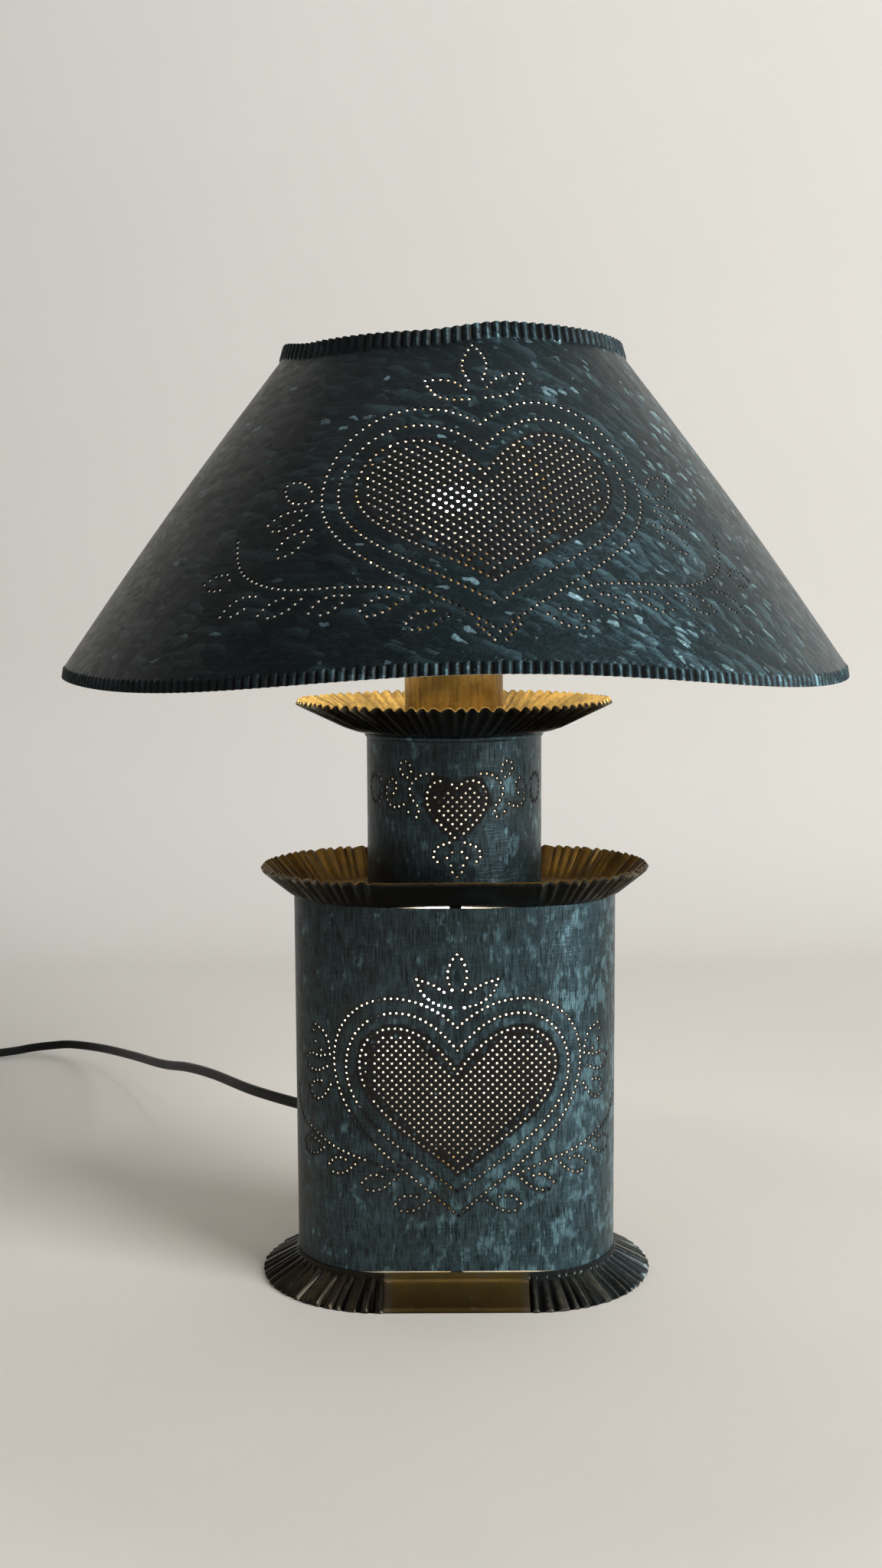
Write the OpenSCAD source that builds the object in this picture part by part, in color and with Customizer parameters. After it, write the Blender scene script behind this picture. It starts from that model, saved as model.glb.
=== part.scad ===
// Punched tin table lamp: an oval body and a round neck pierced with hearts, two fluted drip pans,
// a short candle tube and a wide conical tin shade, lit by one bulb in the shade and one in the body.
// Millimetres, +Z up, front towards -Y, origin on the table under the middle of the base.

/* [Tin] */
// Thickness of the tin sheet
sheet = 0.6; // [0.4:0.1:1]
// Thickness of the flat base plate
plate = 1.2; // [0.8:0.1:2]

/* [Base] */
// Length of the straight front and back of the oval
straight = 73; // [50:1:110]
// Height of the base skirt
base_h = 14; // [13:0.5:24]
// How far the skirt flares out past the body at the table
base_flare = 18; // [10:0.5:26]
// Width of the folded hem that stands on the table
hem = 3; // [2:0.5:5]
// Diameter of the opening in the base plate that the lower bulb comes out of
plate_hole = 80; // [66:1:86]

/* [Body] */
// Radius of the round ends of the body
body_r = 46; // [44:0.5:58]
// Height of the punched body
body_h = 181.7; // [178:0.1:260]
// Light gap below and above the body
slit = 1.5; // [1:0.1:3]
// Width of the tabs that cross the light gaps
tab_w = 6; // [4:0.5:10]
// Height that each tab laps up the body wall
tab_lap = 11; // [6:0.5:16]
// Distance of the side tabs from the middle of the front
tab_x = 52; // [40:1:60]

/* [Pans and neck] */
// Height of the lower pan's rim above its floor
lower_rim_h = 14.6; // [8:0.2:24]
// How far the lower pan's rim flares out
lower_flare = 16.5; // [8:0.5:24]
// Outer radius of the neck tube
neck_r = 44.5; // [40:0.5:46]
// Height of the neck tube
neck_h = 83.7; // [60:0.1:120]
// Radius of the rolled bead at the neck's top
bead_r = 1.4; // [0.8:0.1:2]
// Width of the floor ledge inside the neck, round the light hole
pan_ledge = 5; // [3:0.5:8]
// Radius of the upper pan's floor
upper_floor_r = 52; // [48:0.5:62]
// How far the upper pan's rim flares out
upper_flare = 28; // [14:0.5:36]
// Height of the upper pan's rim above its floor
upper_rim_h = 14.4; // [8:0.2:24]

/* [Candle tube and harp] */
// Outer radius of the candle tube
candle_r = 25; // [21:0.5:30]
// Height of the candle tube
candle_h = 34; // [26:0.5:60]
// Distance between the harp's legs
harp_span = 60; // [56:1:70]
// Height from the saddle to the seat of the shade
harp_h = 130; // [124:1:180]
// Widest half width of the harp
harp_bow = 50; // [40:1:60]
// Thickness of the harp's wire
harp_wire = 3.2; // [2.4:0.1:4]
// Diameter of the stud that the finial screws on
stud_d = 6.2; // [5:0.1:8]
// Diameter of the finial
finial_d = 16; // [12:0.5:22]
// Height of the finial
finial_h = 24; // [20:0.5:26]

/* [Shade] */
// Width of the shade's bottom edge
shade_w = 388; // [340:1:470]
// Front to back depth of the shade's bottom edge
shade_d = 414; // [340:1:480]
// Width of the shade's top edge
shade_top_w = 167; // [140:1:220]
// Height of the shade at its sides
shade_h = 160; // [130:1:200]
// Height of the shade's top edge above its seat
shade_drop = 23; // [16:1:30]
// Rise of the bottom edge at the front and back
edge_rise = 7.6; // [0:0.1:12]
// Dip of the bottom edge at the four corners
edge_dip = 5.7; // [0:0.1:8]
// Rise of the top edge at the front and back
top_rise = 0.8; // [0:0.1:4]
// Outward bulge of the cone at half its height
shade_bulge = 2; // [0:0.1:4]
// Height of the fluted band along both edges
band_h = 8; // [4:0.5:12]
// How far the band leans in over its height
band_lean = 2.6; // [0:0.1:5]
// Turn of the shade to the viewer's right, in degrees
shade_yaw = 5; // [-20:1:20]
// Thickness of the shade's sheet
shade_wall = 0.75; // [0.5:0.05:1.2]
// Thickness of the three arms that carry the shade
arm_d = 2.6; // [2:0.1:4]

/* [Sockets and bulbs] */
// Diameter of the threaded pipe
pipe_d = 10; // [9:0.1:11]
// Bore of the threaded pipe
pipe_bore = 7; // [6:0.1:8]
// Outer radius of the socket's metal shell
socket_r = 18.4; // [17.5:0.1:20]
// Radius of a bulb's screw base
base_screw_r = 13.1; // [12.8:0.05:13.2]
// Radius of a bulb's globe
globe_r = 24; // [20:0.5:26]
// Height of the lower socket's foot above the table
lower_z = 62; // [40:1:70]
// Place of the lower socket to the right of the middle
lower_x = -6; // [-12:1:12]
// Diameter of the switch knob
knob_d = 14; // [10:0.5:18]

/* [Cord] */
// Width of the flat cord
cord_w = 6.2; // [5:0.1:6.6]
// Thickness of the flat cord
cord_t = 3.2; // [2.6:0.1:3.4]
// Height of the cord's eyelet above the table
eyelet_z = 72; // [50:1:110]
// Diameter of the hole in the body for the eyelet
eyelet_hole = 10; // [9.5:0.1:12]
// Outer diameter of the eyelet
eyelet_d = 14; // [13:0.5:18]

/* [Hidden] */
$fn = 64;

// Clearances
slip = 0.1;
gap = 0.2;
run_gap = 0.3;

// Colours
tin = [0.25, 0.31, 0.35];
pan_tin = [0.2, 0.19, 0.17];
brass = [0.72, 0.56, 0.26];
steel = [0.62, 0.62, 0.6];
black = [0.06, 0.06, 0.06];
card = [0.75, 0.68, 0.52];
warm_glass = [1, 0.88, 0.62];

// Heights, each from the one below it
half = straight / 2;
body_z = base_h + slit;
body_top = body_z + body_h;
lower_floor = body_top + slit;
neck_z = lower_floor + sheet;
upper_floor = neck_z + neck_h;
candle_z = upper_floor + sheet;
cap_z = candle_z + candle_h;
saddle_t = 1.2;
saddle_z = cap_z + sheet;
socket_z = saddle_z + saddle_t;
seat_z = socket_z + harp_h;
shade_top = seat_z + shade_drop;
shade_bottom = shade_top - shade_h;

// Nuts, strap and screws
nut_af = 14;
nut_h = 4.8;
washer_r = 12;
washer_t = 1.2;
strap_t = 1.6;
strap_w = 22;
strap_margin = 7;
strap_z = base_h - plate - strap_t;
strap_screw_x = plate_hole / 2 + strap_margin;
screw_d = 4;
screw_head_d = 8;
screw_head_h = 2.6;
screw_nut_h = 3.2;

// Socket, from its foot up
cap_skirt_z = 14;
cap_h = 18;
cap_wall = 0.8;
cap_round = 2;
dome_z = 7;
rim_z = 12;
cap_foot_r = 9;
pipe_grip = 9;
core_z = 13;
core_h = 17;
screw_wall = 0.4;
screw_h = 19;
shell_h = 38;
liner_wall = 0.8;
knob_z = 21;
knob_len = 14;
knob_stand = 10;
shaft_d = 4;
shaft_in = 12;
contact_r = 4;
contact_h = 3;
screw_base_h = 24;
glass_wall = 0.7;
glass_neck_r = 13;
globe_z = 79;
shell_r = socket_r - gap;
core_r = shell_r - sheet - 2 * gap;
screw_r = base_screw_r + screw_wall + 2 * run_gap;
base_z = core_z + core_h + 2 * run_gap + contact_h;
glass_z = base_z + screw_base_h;

// Harp and its seat
sleeve_z = 8;
sleeve_h = 18;
sleeve_r = 3.2;
saddle_w = 20;
saddle_arm_w = 3;
saddle_arm_h = 18;
stud_foot_r = 6.5;
stud_foot_h = 3;
stud_h = 14;
spider_r = 10;
spider_t = 1.6;
finial_z = seat_z + gap + spider_t + gap;
finial_wall = 0.9;
finial_lip = 2;
finial_lip_h = 4;

// Eyelet, on the back left of the body
eyelet_dir = 130;
eyelet_lip = 1.45;
eyelet_bore = cord_w + 0.8;
exit_r = body_r + slip + eyelet_lip;

// Cord: it leaves the eyelet, sinks to the table behind the lamp and ends in a coil beside it
cord_out = [cos(eyelet_dir), sin(eyelet_dir), 0];
cord_exit = [-half, 0, eyelet_z] + exit_r * cord_out;
cord_rest = 4.3;
coil_at = [-382, 362, cord_rest];
coil_start = 115;
coil_r = 42;
coil_pitch = 6;
coil_layer = 7.2;
turns_in = 2.5;
turns_climb = 0.5;
turns_out = 2.25;
climb_share = 0.7;
rings_a_turn = 24;
coil_in_r = coil_r - turns_in * coil_pitch;
tie_w = 8;
tie_t = 0.8;
tie_dir = 20;
plug_l = 26;
plug_w = 20;
plug_h = 11;
blade_l = 16;
blade_w = 6.3;
blade_t = 1.5;
blade_gap = 12.7;
cord_points = [
    [-84.5, 57, 70], [-116.5, 100, 66], [-147.5, 160, 59], [-171, 210, 50], [-195, 262, 38],
    [-227.5, 330, 26], [-260, 385, 17], [-289, 416, 12], [-306, 425, 9], [-322, 428, 6.5],
    [-337, 424, 4.8], [-365, 412, 4.3]];

// Leads inside the lamp
lead_d = 4;
splice_in = 33;
splice_at = cord_exit - splice_in * cord_out - [0, 0, 6];
splice_r = 5;
splice_h = 16;
lead_beside = 5;
lead_rise = 3;

// The leads' bends are drawn for this exit radius and this socket, and move with both
lead_drawn_r = 47.55;
lead_drawn_socket = 18.4;
lead_shift = (exit_r - lead_drawn_r) * cord_out;

function unit(v) = v / norm(v);
function mix(a, b, t) = a + (b - a) * t;
function smooth(t) = let (u = max(0, min(1, t))) u * u * (3 - 2 * u);
function flat_dir(a) = [cos(a), sin(a), 0];

// Smooth curve through a list of points, with a number of steps between each two
function curve_point(a, b, c, d, t) =
    0.5 * (2 * b + (c - a) * t + (2 * a - 5 * b + 4 * c - d) * t * t + (3 * b - a - 3 * c + d) * t * t * t);
function curve(p, steps) = let (n = len(p))
    [for (i = [0 : n - 2], k = [0 : steps - 1])
        curve_point(i > 0 ? p[i - 1] : 2 * p[0] - p[1], p[i], p[i + 1],
                    i < n - 2 ? p[i + 2] : 2 * p[n - 1] - p[n - 2], k / steps),
     p[n - 1]];

// Direction of a path at each of its points
function heading(p, i) = unit(p[min(i + 1, len(p) - 1)] - p[max(i - 1, 0)]);

// Flat section with a number of corners: wide across the second axis, thin across the first
function section(wide, thin, n) =
    let (turns = [for (k = [0 : n - 1]) 360 * (k + 0.5) / n],
         across = max([for (a = turns) cos(a)]), up = max([for (a = turns) sin(a)]))
    [for (a = turns) [cos(a) / across * thin / 2, sin(a) / up * wide / 2]];

// Tube of one section along a path; aside is square to the path's plane or points up
module tube(path, shape, aside) {
    m = len(shape);
    n = len(path);
    points = [for (i = [0 : n - 1])
        let (t = heading(path, i), s = unit(cross(t, aside)), u = cross(s, t))
        for (q = shape) path[i] + s * q[0] + u * q[1]];
    sides = [for (i = [0 : n - 2], k = [0 : m - 1])
        let (a = i * m + k, b = i * m + (k + 1) % m)
        each [[a, b, b + m], [a, b + m, a + m]]];
    ends = [for (k = [1 : m - 2]) each [[0, k + 1, k], [(n - 1) * m, (n - 1) * m + k, (n - 1) * m + k + 1]]];
    polyhedron(points, concat(sides, ends));
}

// Oval plate with round ends
module oval(r, h) {
    for (s = [-1, 1]) translate([s * half, 0, 0]) cylinder(r = r, h = h);
    translate([-half, -r, 0]) cube([straight, 2 * r, h]);
}

// Wall with the profile of the children, carried round the oval
module oval_wall() {
    for (s = [-1, 1]) translate([s * half, 0, 0]) rotate([0, 0, -90 * s])
        rotate_extrude(angle = 180) children();
    for (s = [0, 1]) mirror([0, s, 0]) rotate([90, 0, 90])
        linear_extrude(height = straight, center = true) children();
}

// Flared sheet rim, from a floor's edge to a rim further out
module rim_profile(r, flare, h) {
    polygon([[r - sheet, 0], [r, 0], [r + flare, h], [r + flare - sheet, h], [r - sheet, sheet]]);
}

module base_flange() {
    r = body_r + base_flare;
    collar = 3;
    color(pan_tin) oval_wall()
        polygon([[r, 0], [body_r + sheet, base_h - collar], [body_r + sheet, base_h], [body_r, base_h],
                 [body_r, base_h - collar - sheet], [r - sheet - hem / 3, sheet],
                 [r - hem, sheet], [r - hem, 0]]);
}

module base_plate() {
    color(pan_tin) translate([0, 0, base_h - plate]) difference() {
        oval(body_r - slip, plate);
        translate([0, 0, -1]) cylinder(d = plate_hole, h = plate + 2);
        for (s = [-1, 1]) translate([s * strap_screw_x, 0, -1])
            cylinder(d = screw_d + 2 * gap, h = plate + 2);
    }
}

// Tab against the inside of the body wall at a distance along the front
module wall_tab(x, h) {
    inner = body_r - sheet - gap;
    past = abs(x) - half;
    turn = past > 0 ? asin(past / body_r) * sign(x) : 0;
    translate([past > 0 ? sign(x) * half : x, 0, 0]) rotate([0, 0, turn])
        translate([-tab_w / 2, -inner, 0]) cube([tab_w, sheet, h]);
}

module base_tabs() {
    color(black) translate([0, 0, base_h]) for (x = [-tab_x, 0, tab_x], s = [0, 1])
        mirror([0, s, 0]) wall_tab(x, slit + tab_lap);
}

module top_tabs() {
    color(black) translate([0, 0, body_top - tab_lap]) for (x = [-tab_x, 0, tab_x], s = [0, 1])
        mirror([0, s, 0]) wall_tab(x, slit + tab_lap);
}

module body_shell() {
    color(tin) difference() {
        translate([0, 0, body_z]) oval_wall() translate([body_r - sheet, 0]) square([sheet, body_h]);
        at_eyelet() translate([body_r - 5, 0, 0]) rotate([0, 90, 0]) cylinder(d = eyelet_hole, h = 10);
    }
}

module lower_pan() {
    color(pan_tin) translate([0, 0, lower_floor]) {
        difference() {
            oval(body_r - sheet / 2, sheet);
            translate([0, 0, -1]) cylinder(r = neck_r - sheet - pan_ledge, h = sheet + 2);
        }
        oval_wall() rim_profile(body_r, lower_flare, lower_rim_h);
    }
}

module neck_tube() {
    color(tin) translate([0, 0, neck_z]) rotate_extrude() {
        translate([neck_r - sheet, 0]) square([sheet, neck_h]);
        translate([neck_r - sheet / 2, neck_h - bead_r - gap]) circle(r = bead_r);
    }
}

module upper_pan() {
    color(pan_tin) translate([0, 0, upper_floor]) rotate_extrude() {
        translate([pipe_d / 2 + gap, 0]) square([upper_floor_r - sheet / 2 - pipe_d / 2 - gap, sheet]);
        rim_profile(upper_floor_r, upper_flare, upper_rim_h);
    }
}

module candle_tube() {
    color(pan_tin) translate([0, 0, candle_z]) rotate_extrude()
        translate([candle_r - sheet, 0]) square([sheet, candle_h]);
}

module candle_cap() {
    skirt = 5;
    color(pan_tin) translate([0, 0, cap_z]) rotate_extrude() {
        translate([pipe_d / 2 + gap, 0]) square([candle_r - pipe_d / 2 - gap, sheet]);
        translate([candle_r - 2 * sheet - slip, -skirt]) square([sheet, skirt + sheet]);
    }
}

module pipe(h) {
    rotate_extrude() translate([pipe_bore / 2, 0]) square([(pipe_d - pipe_bore) / 2, h]);
}

module lamp_pipe() {
    foot = upper_floor - washer_t - nut_h - 4;
    color(brass) translate([0, 0, foot]) pipe(socket_z + pipe_grip - foot);
}

module hex_nut(af, h, bore) {
    difference() {
        cylinder(d = af / cos(30), h = h, $fn = 6);
        translate([0, 0, -1]) cylinder(d = bore, h = h + 2);
    }
}

module lock_nuts() {
    color(brass) {
        translate([0, 0, upper_floor - washer_t - nut_h]) hex_nut(nut_af, nut_h, pipe_d + 2 * slip);
        for (z = [strap_z - nut_h, strap_z + strap_t, lower_z - nut_h])
            translate([lower_x, 0, z]) hex_nut(nut_af, nut_h, pipe_d + 2 * slip);
    }
}

module lock_washer() {
    color(steel) translate([0, 0, upper_floor - washer_t]) rotate_extrude()
        translate([pipe_d / 2 + gap, 0]) square([washer_r - pipe_d / 2 - gap, washer_t]);
}

module harp_saddle() {
    color(brass) translate([0, 0, saddle_z]) {
        difference() {
            translate([-harp_span / 2 - saddle_t / 2, -saddle_w / 2, 0])
                cube([harp_span + saddle_t, saddle_w, saddle_t]);
            translate([0, 0, -1]) cylinder(d = pipe_d + 2 * gap, h = saddle_t + 2);
            for (s = [-1, 1], t = [-1, 1]) translate([s * (harp_span / 2 + 1), t * (saddle_w / 2 + 2), -1])
                cylinder(r = saddle_w / 2 - 1, h = saddle_t + 2);
        }
        for (s = [-1, 1]) translate([s * harp_span / 2 - saddle_t / 2, -saddle_arm_w / 2, 0])
            cube([saddle_t, saddle_arm_w, saddle_t + saddle_arm_h]);
    }
}

module harp_sleeves() {
    color(brass) for (s = [-1, 1]) translate([s * harp_span / 2, 0, socket_z + sleeve_z]) difference() {
        cylinder(r = sleeve_r, h = sleeve_h);
        translate([0, 0, -1]) cylinder(r = harp_wire / 2 + gap, h = sleeve_h + 2);
    }
}

// Right leg of the harp, from the saddle up to the middle of its top bar
harp_foot = saddle_arm_h + 0.5;
harp_bar = harp_h - stud_foot_h - harp_wire / 2 - slip;
harp_leg = [[harp_span / 2, harp_foot], [harp_span / 2, sleeve_z + sleeve_h],
            [harp_span / 2, sleeve_z + sleeve_h + 5], [mix(harp_span / 2, harp_bow, 0.6), 46],
            [harp_bow, 70], [mix(harp_bow, 14, 0.2), 92], [mix(harp_bow, 14, 0.62), harp_bar - 14],
            [16, harp_bar - 4], [11, harp_bar - 0.5], [7, harp_bar], [3, harp_bar], [0, harp_bar]];

module harp() {
    n = len(harp_leg);
    right = [for (q = harp_leg) [q[0], 0, q[1]]];
    left = [for (i = [n - 2 : -1 : 0]) [-harp_leg[i][0], 0, harp_leg[i][1]]];
    color(brass) translate([0, 0, socket_z])
        tube(curve(concat(right, left), 3), section(harp_wire, harp_wire, 8), [0, 1, 0]);
}

module harp_stud() {
    color(brass) translate([0, 0, seat_z]) {
        translate([0, 0, -stud_foot_h]) cylinder(r = stud_foot_r, h = stud_foot_h);
        cylinder(d = stud_d, h = stud_h);
    }
}

module finial() {
    r = finial_d / 2;
    neck = stud_d / 2 + finial_wall;
    bore_h = stud_h - (finial_z - seat_z) + 1;
    color(brass) translate([0, 0, finial_z]) difference() {
        rotate_extrude() {
            square([neck + finial_lip, finial_lip_h]);
            square([neck, finial_h - r]);
            intersection() {
                translate([0, finial_h - r]) circle(r = r);
                square([r, finial_h]);
            }
        }
        translate([0, 0, -1]) cylinder(d = stud_d + 2 * gap, h = bore_h + 1);
    }
}

// Half widths of the shade's cone, as shares of its bottom edge: the two bands and the bulging cone between
top_share = shade_top_w / shade_w;
lean = 2 * band_lean / shade_w;
cone_steps = 5;
function cone_share(u) = mix(1 - lean, top_share + lean, u) + 2 * shade_bulge / shade_w * sin(180 * u);
shade_rows = concat([[1, 0, 0]], [for (k = [0 : cone_steps]) [cone_share(k / cone_steps), k / cone_steps, 1]],
                    [[top_share, 1, 2]]);
function low_edge(a) = shade_bottom + edge_rise * sin(a) ^ 2 - edge_dip * sin(2 * a) ^ 2;
function high_edge(a) = shade_top + top_rise * sin(a) ^ 2;
function shade_height(a, row) = row[2] == 0 ? low_edge(a)
    : row[2] == 2 ? high_edge(a)
    : mix(low_edge(a) + band_h, high_edge(a) - band_h, row[1]);
function shade_point(a, row, inset) =
    let (r = [shade_w / 2 * cos(a), shade_d / 2 * sin(a)] * row[0], d = [cos(a), sin(a)] * inset)
    [r[0] - d[0], r[1] - d[1], shade_height(a, row)];

module shade_shell() {
    n = 96;
    m = len(shade_rows);
    ring = 2 * m;
    points = [for (i = [0 : n - 1]) let (a = 360 * i / n) each concat(
        [for (row = shade_rows) shade_point(a, row, 0)],
        [for (k = [m - 1 : -1 : 0]) shade_point(a, shade_rows[k], shade_wall)])];
    faces = [for (i = [0 : n - 1], k = [0 : ring - 1])
        let (a = i * ring + k, b = i * ring + (k + 1) % ring, c = ((i + 1) % n) * ring)
        each [[a, b, c + (k + 1) % ring], [a, c + (k + 1) % ring, c + k]]];
    color(tin) rotate([0, 0, shade_yaw]) polyhedron(points, faces);
}

module shade_washer() {
    color(brass) translate([0, 0, seat_z + gap]) rotate_extrude()
        translate([stud_d / 2 + run_gap, 0]) square([spider_r - stud_d / 2 - run_gap, spider_t]);
}

module shade_arms() {
    row = shade_rows[len(shade_rows) - 2];
    color(brass) rotate([0, 0, shade_yaw]) for (a = [90, 210, 330]) {
        wall = shade_point(a, row, shade_wall + gap + arm_d / 2);
        tip = [norm([wall[0], wall[1]]), wall[2] + 1];
        foot = [spider_r + gap + arm_d / 4, seat_z + gap + spider_t / 2];
        turn = atan2(wall[1], wall[0]);
        rise = atan2(tip[1] - foot[1], tip[0] - foot[0]);
        rotate([0, 0, turn]) translate([foot[0], 0, foot[1]]) rotate([0, 90 - rise, 0])
            cylinder(d = arm_d, h = norm(tip - foot));
    }
}

module socket_cap_shape() {
    outer = socket_r + cap_wall;
    dome = outer - cap_round;
    rotate_extrude() polygon([
        [pipe_d / 2 + slip, 0], [cap_foot_r, 0], [dome, dome_z], [outer, rim_z], [outer, cap_h],
        [socket_r, cap_h], [socket_r, rim_z + cap_wall / 2], [dome - cap_wall, dome_z + cap_wall],
        [cap_foot_r, pipe_grip], [pipe_d / 2 + slip, pipe_grip]]);
}

module socket_core_shape(bored) {
    translate([0, 0, core_z]) difference() {
        cylinder(r = core_r, h = core_h);
        if (bored) translate([0, 0, knob_z - core_z]) rotate([90, 0, 0])
            cylinder(d = shaft_d + 2 * run_gap, h = core_r + 2);
    }
}

module socket_screw_shape() {
    translate([0, 0, core_z + core_h]) rotate_extrude()
        translate([screw_r - screw_wall, 0]) square([screw_wall, screw_h]);
}

module socket_shell_shape(bored) {
    translate([0, 0, cap_skirt_z]) difference() {
        rotate_extrude() translate([shell_r - sheet, 0]) square([sheet, shell_h]);
        if (bored) translate([0, 0, knob_z - cap_skirt_z]) rotate([90, 0, 0])
            cylinder(d = shaft_d + 4 * run_gap, h = socket_r + 2);
    }
}

module bulb_base_shape() {
    translate([0, 0, base_z]) {
        cylinder(r = base_screw_r, h = screw_base_h);
        translate([0, 0, -contact_h]) cylinder(r = contact_r, h = contact_h);
    }
}

// Globe of a bulb on its neck; the outline bends from the neck into the round
function glass_outline(r, neck) = let (low = -52, reach = r * cos(low))
    concat([for (k = [0 : 8]) let (t = k / 8)
                [mix(neck, reach, smooth(t)), mix(glass_z, globe_z + r * sin(low), t)]],
           [for (a = [low + 8 : 9 : 89]) [r * cos(a), globe_z + r * sin(a)]],
           [[0, globe_z + r]]);

module bulb_glass_shape() {
    difference() {
        rotate_extrude() polygon(concat([[0, glass_z]], glass_outline(globe_r, glass_neck_r)));
        rotate_extrude() polygon(concat([[0, glass_z - 1], [glass_neck_r - glass_wall, glass_z - 1]],
                                        glass_outline(globe_r - glass_wall, glass_neck_r - glass_wall)));
    }
}

module at_socket() translate([0, 0, socket_z]) children();
module at_lower() translate([lower_x, 0, lower_z]) children();
module at_eyelet() translate([-half, 0, eyelet_z]) rotate([0, 0, eyelet_dir]) children();

module socket_cap() color(brass) at_socket() socket_cap_shape();
module socket_core() color(black) at_socket() socket_core_shape(true);
module socket_screw() color(steel) at_socket() socket_screw_shape();
module socket_shell() color(brass) at_socket() socket_shell_shape(true);
module bulb_base() color(steel) at_socket() bulb_base_shape();
module bulb_glass() color(warm_glass) at_socket() bulb_glass_shape();
module lower_cap() color(brass) at_lower() socket_cap_shape();
module lower_core() color(black) at_lower() socket_core_shape(false);
module lower_screw() color(steel) at_lower() socket_screw_shape();
module lower_shell() color(brass) at_lower() socket_shell_shape(false);
module lower_bulb_base() color(steel) at_lower() bulb_base_shape();
module lower_bulb_glass() color(warm_glass) at_lower() bulb_glass_shape();

module socket_liner() {
    color(card) at_socket() translate([0, 0, core_z + core_h + gap]) rotate_extrude()
        translate([shell_r - sheet - slip - liner_wall, 0])
            square([liner_wall, cap_skirt_z + shell_h - core_z - core_h - gap]);
}

module switch_shaft() {
    color(brass) at_socket() translate([0, -(core_r - shaft_in), knob_z]) rotate([90, 0, 0])
        cylinder(d = shaft_d, h = shaft_in + socket_r - core_r + knob_stand);
}

module switch_knob() {
    flutes = 12;
    color(black) at_socket() translate([0, -socket_r - knob_stand, knob_z]) rotate([90, 0, 0]) difference() {
        cylinder(d = knob_d, h = knob_len);
        for (k = [0 : flutes - 1]) rotate([0, 0, 360 * k / flutes]) translate([knob_d / 2 + 0.5, 0, 4])
            cylinder(r = 1.2, h = knob_len);
    }
}

module socket_strap() {
    color(steel) translate([0, 0, strap_z]) difference() {
        translate([-strap_screw_x - strap_margin, -strap_w / 2, 0])
            cube([2 * (strap_screw_x + strap_margin), strap_w, strap_t]);
        translate([lower_x, 0, -1]) cylinder(d = pipe_d + 2 * gap, h = strap_t + 2);
        for (s = [-1, 1]) translate([s * strap_screw_x, 0, -1])
            cylinder(d = screw_d + 2 * gap, h = strap_t + 2);
    }
}

module strap_screws() {
    color(steel) for (s = [-1, 1]) translate([s * strap_screw_x, 0, strap_z]) {
        translate([0, 0, -screw_head_h]) cylinder(d = screw_head_d, h = screw_head_h);
        cylinder(d = screw_d, h = strap_t + plate + screw_nut_h + 1);
    }
}

module strap_nuts() {
    color(steel) for (s = [-1, 1]) translate([s * strap_screw_x, 0, base_h])
        hex_nut(screw_head_d, screw_nut_h, screw_d + 2 * slip);
}

module lower_pipe() {
    foot = strap_z - nut_h;
    color(brass) translate([lower_x, 0, foot]) pipe(lower_z + pipe_grip - foot);
}

module cord_eyelet() {
    color(black) at_eyelet() translate([body_r, 0, 0]) rotate([0, 90, 0]) rotate_extrude() {
        translate([eyelet_bore / 2, slip]) square([(eyelet_d - eyelet_bore) / 2, eyelet_lip]);
        translate([eyelet_bore / 2, -3.4]) square([(eyelet_hole - eyelet_bore) / 2 - slip, 3.6]);
        translate([eyelet_bore / 2, -3.4]) square([(eyelet_d - eyelet_bore) / 2, 1.2]);
    }
}

// Cord inside the body, from the eyelet to the splice
module cord_lead() {
    inner = cord_exit - (splice_in - splice_r - gap) * cord_out;
    color(black) tube([cord_exit, mix(cord_exit, inner, 0.5), inner], section(cord_w, cord_t, 8), [0, 0, 1]);
}

module splice_cap() {
    color(black) translate(splice_at) cylinder(r = splice_r, h = splice_h);
}

module lower_lead() {
    beside = cap_foot_r + lead_beside + socket_r - lead_drawn_socket;
    end = [lower_x - beside, 0, lower_z + lead_rise];
    start = splice_at - [0, 0, gap];
    color(black) tube(curve([start, start - [0, 0, 8], [-40, 9, 48] + lead_shift, [-31, 5, 50] + lead_shift,
                             end - [5, -1, 3], end], 3),
                      section(lead_d, lead_d, 8), [0, 1, 0]);
}

module upper_lead() {
    start = splice_at + [0, 0, splice_h + gap];
    foot = upper_floor - washer_t - nut_h - 4;
    color(black) tube(curve([start, start + [0, 0, 12], [-42, 10, 130] + lead_shift, [-34, 8, 178],
                             [-20, 4, 218], [-4, 1, foot - 18], [0, 0, foot - 6], [0, 0, foot + 4]], 3),
                      section(lead_d, lead_d, 8), [0, 1, 0]);
}

// Coil: it spirals in on the table, climbs a layer, spirals out above and runs off to the plug
coil_head = flat_dir(coil_start + 90);
coil_turns = turns_in + turns_climb + turns_out;
coil_end_dir = coil_start + 360 * coil_turns;
coil_out_r = coil_in_r + turns_out * coil_pitch;
coil_lead_in = coil_at + coil_r * flat_dir(coil_start) - cord_w * coil_head;
coil_off = coil_at + coil_out_r * flat_dir(coil_end_dir) + [0, 0, coil_layer];
tail_head = flat_dir(coil_end_dir + 90);
tail_l = 68;
tail_flat = 20;
tail_drop = 40;
plug_at = [coil_off[0], coil_off[1], 0] + tail_l * tail_head;
function coil_radius(t) = t < turns_in ? coil_r - t * coil_pitch
    : t < turns_in + turns_climb ? coil_in_r - coil_pitch * min(t - turns_in, turns_in + turns_climb - t)
    : coil_in_r + (t - turns_in - turns_climb) * coil_pitch;
function coil_point(t) = coil_at + coil_radius(t) * flat_dir(coil_start + 360 * t)
    + [0, 0, coil_layer * smooth((t - turns_in) / turns_climb / climb_share)];
function tail_point(s) = [coil_off[0], coil_off[1], 0] + s * tail_head
    + [0, 0, mix(coil_off[2], plug_h / 2, smooth((s - tail_flat) / tail_drop))];
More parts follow.
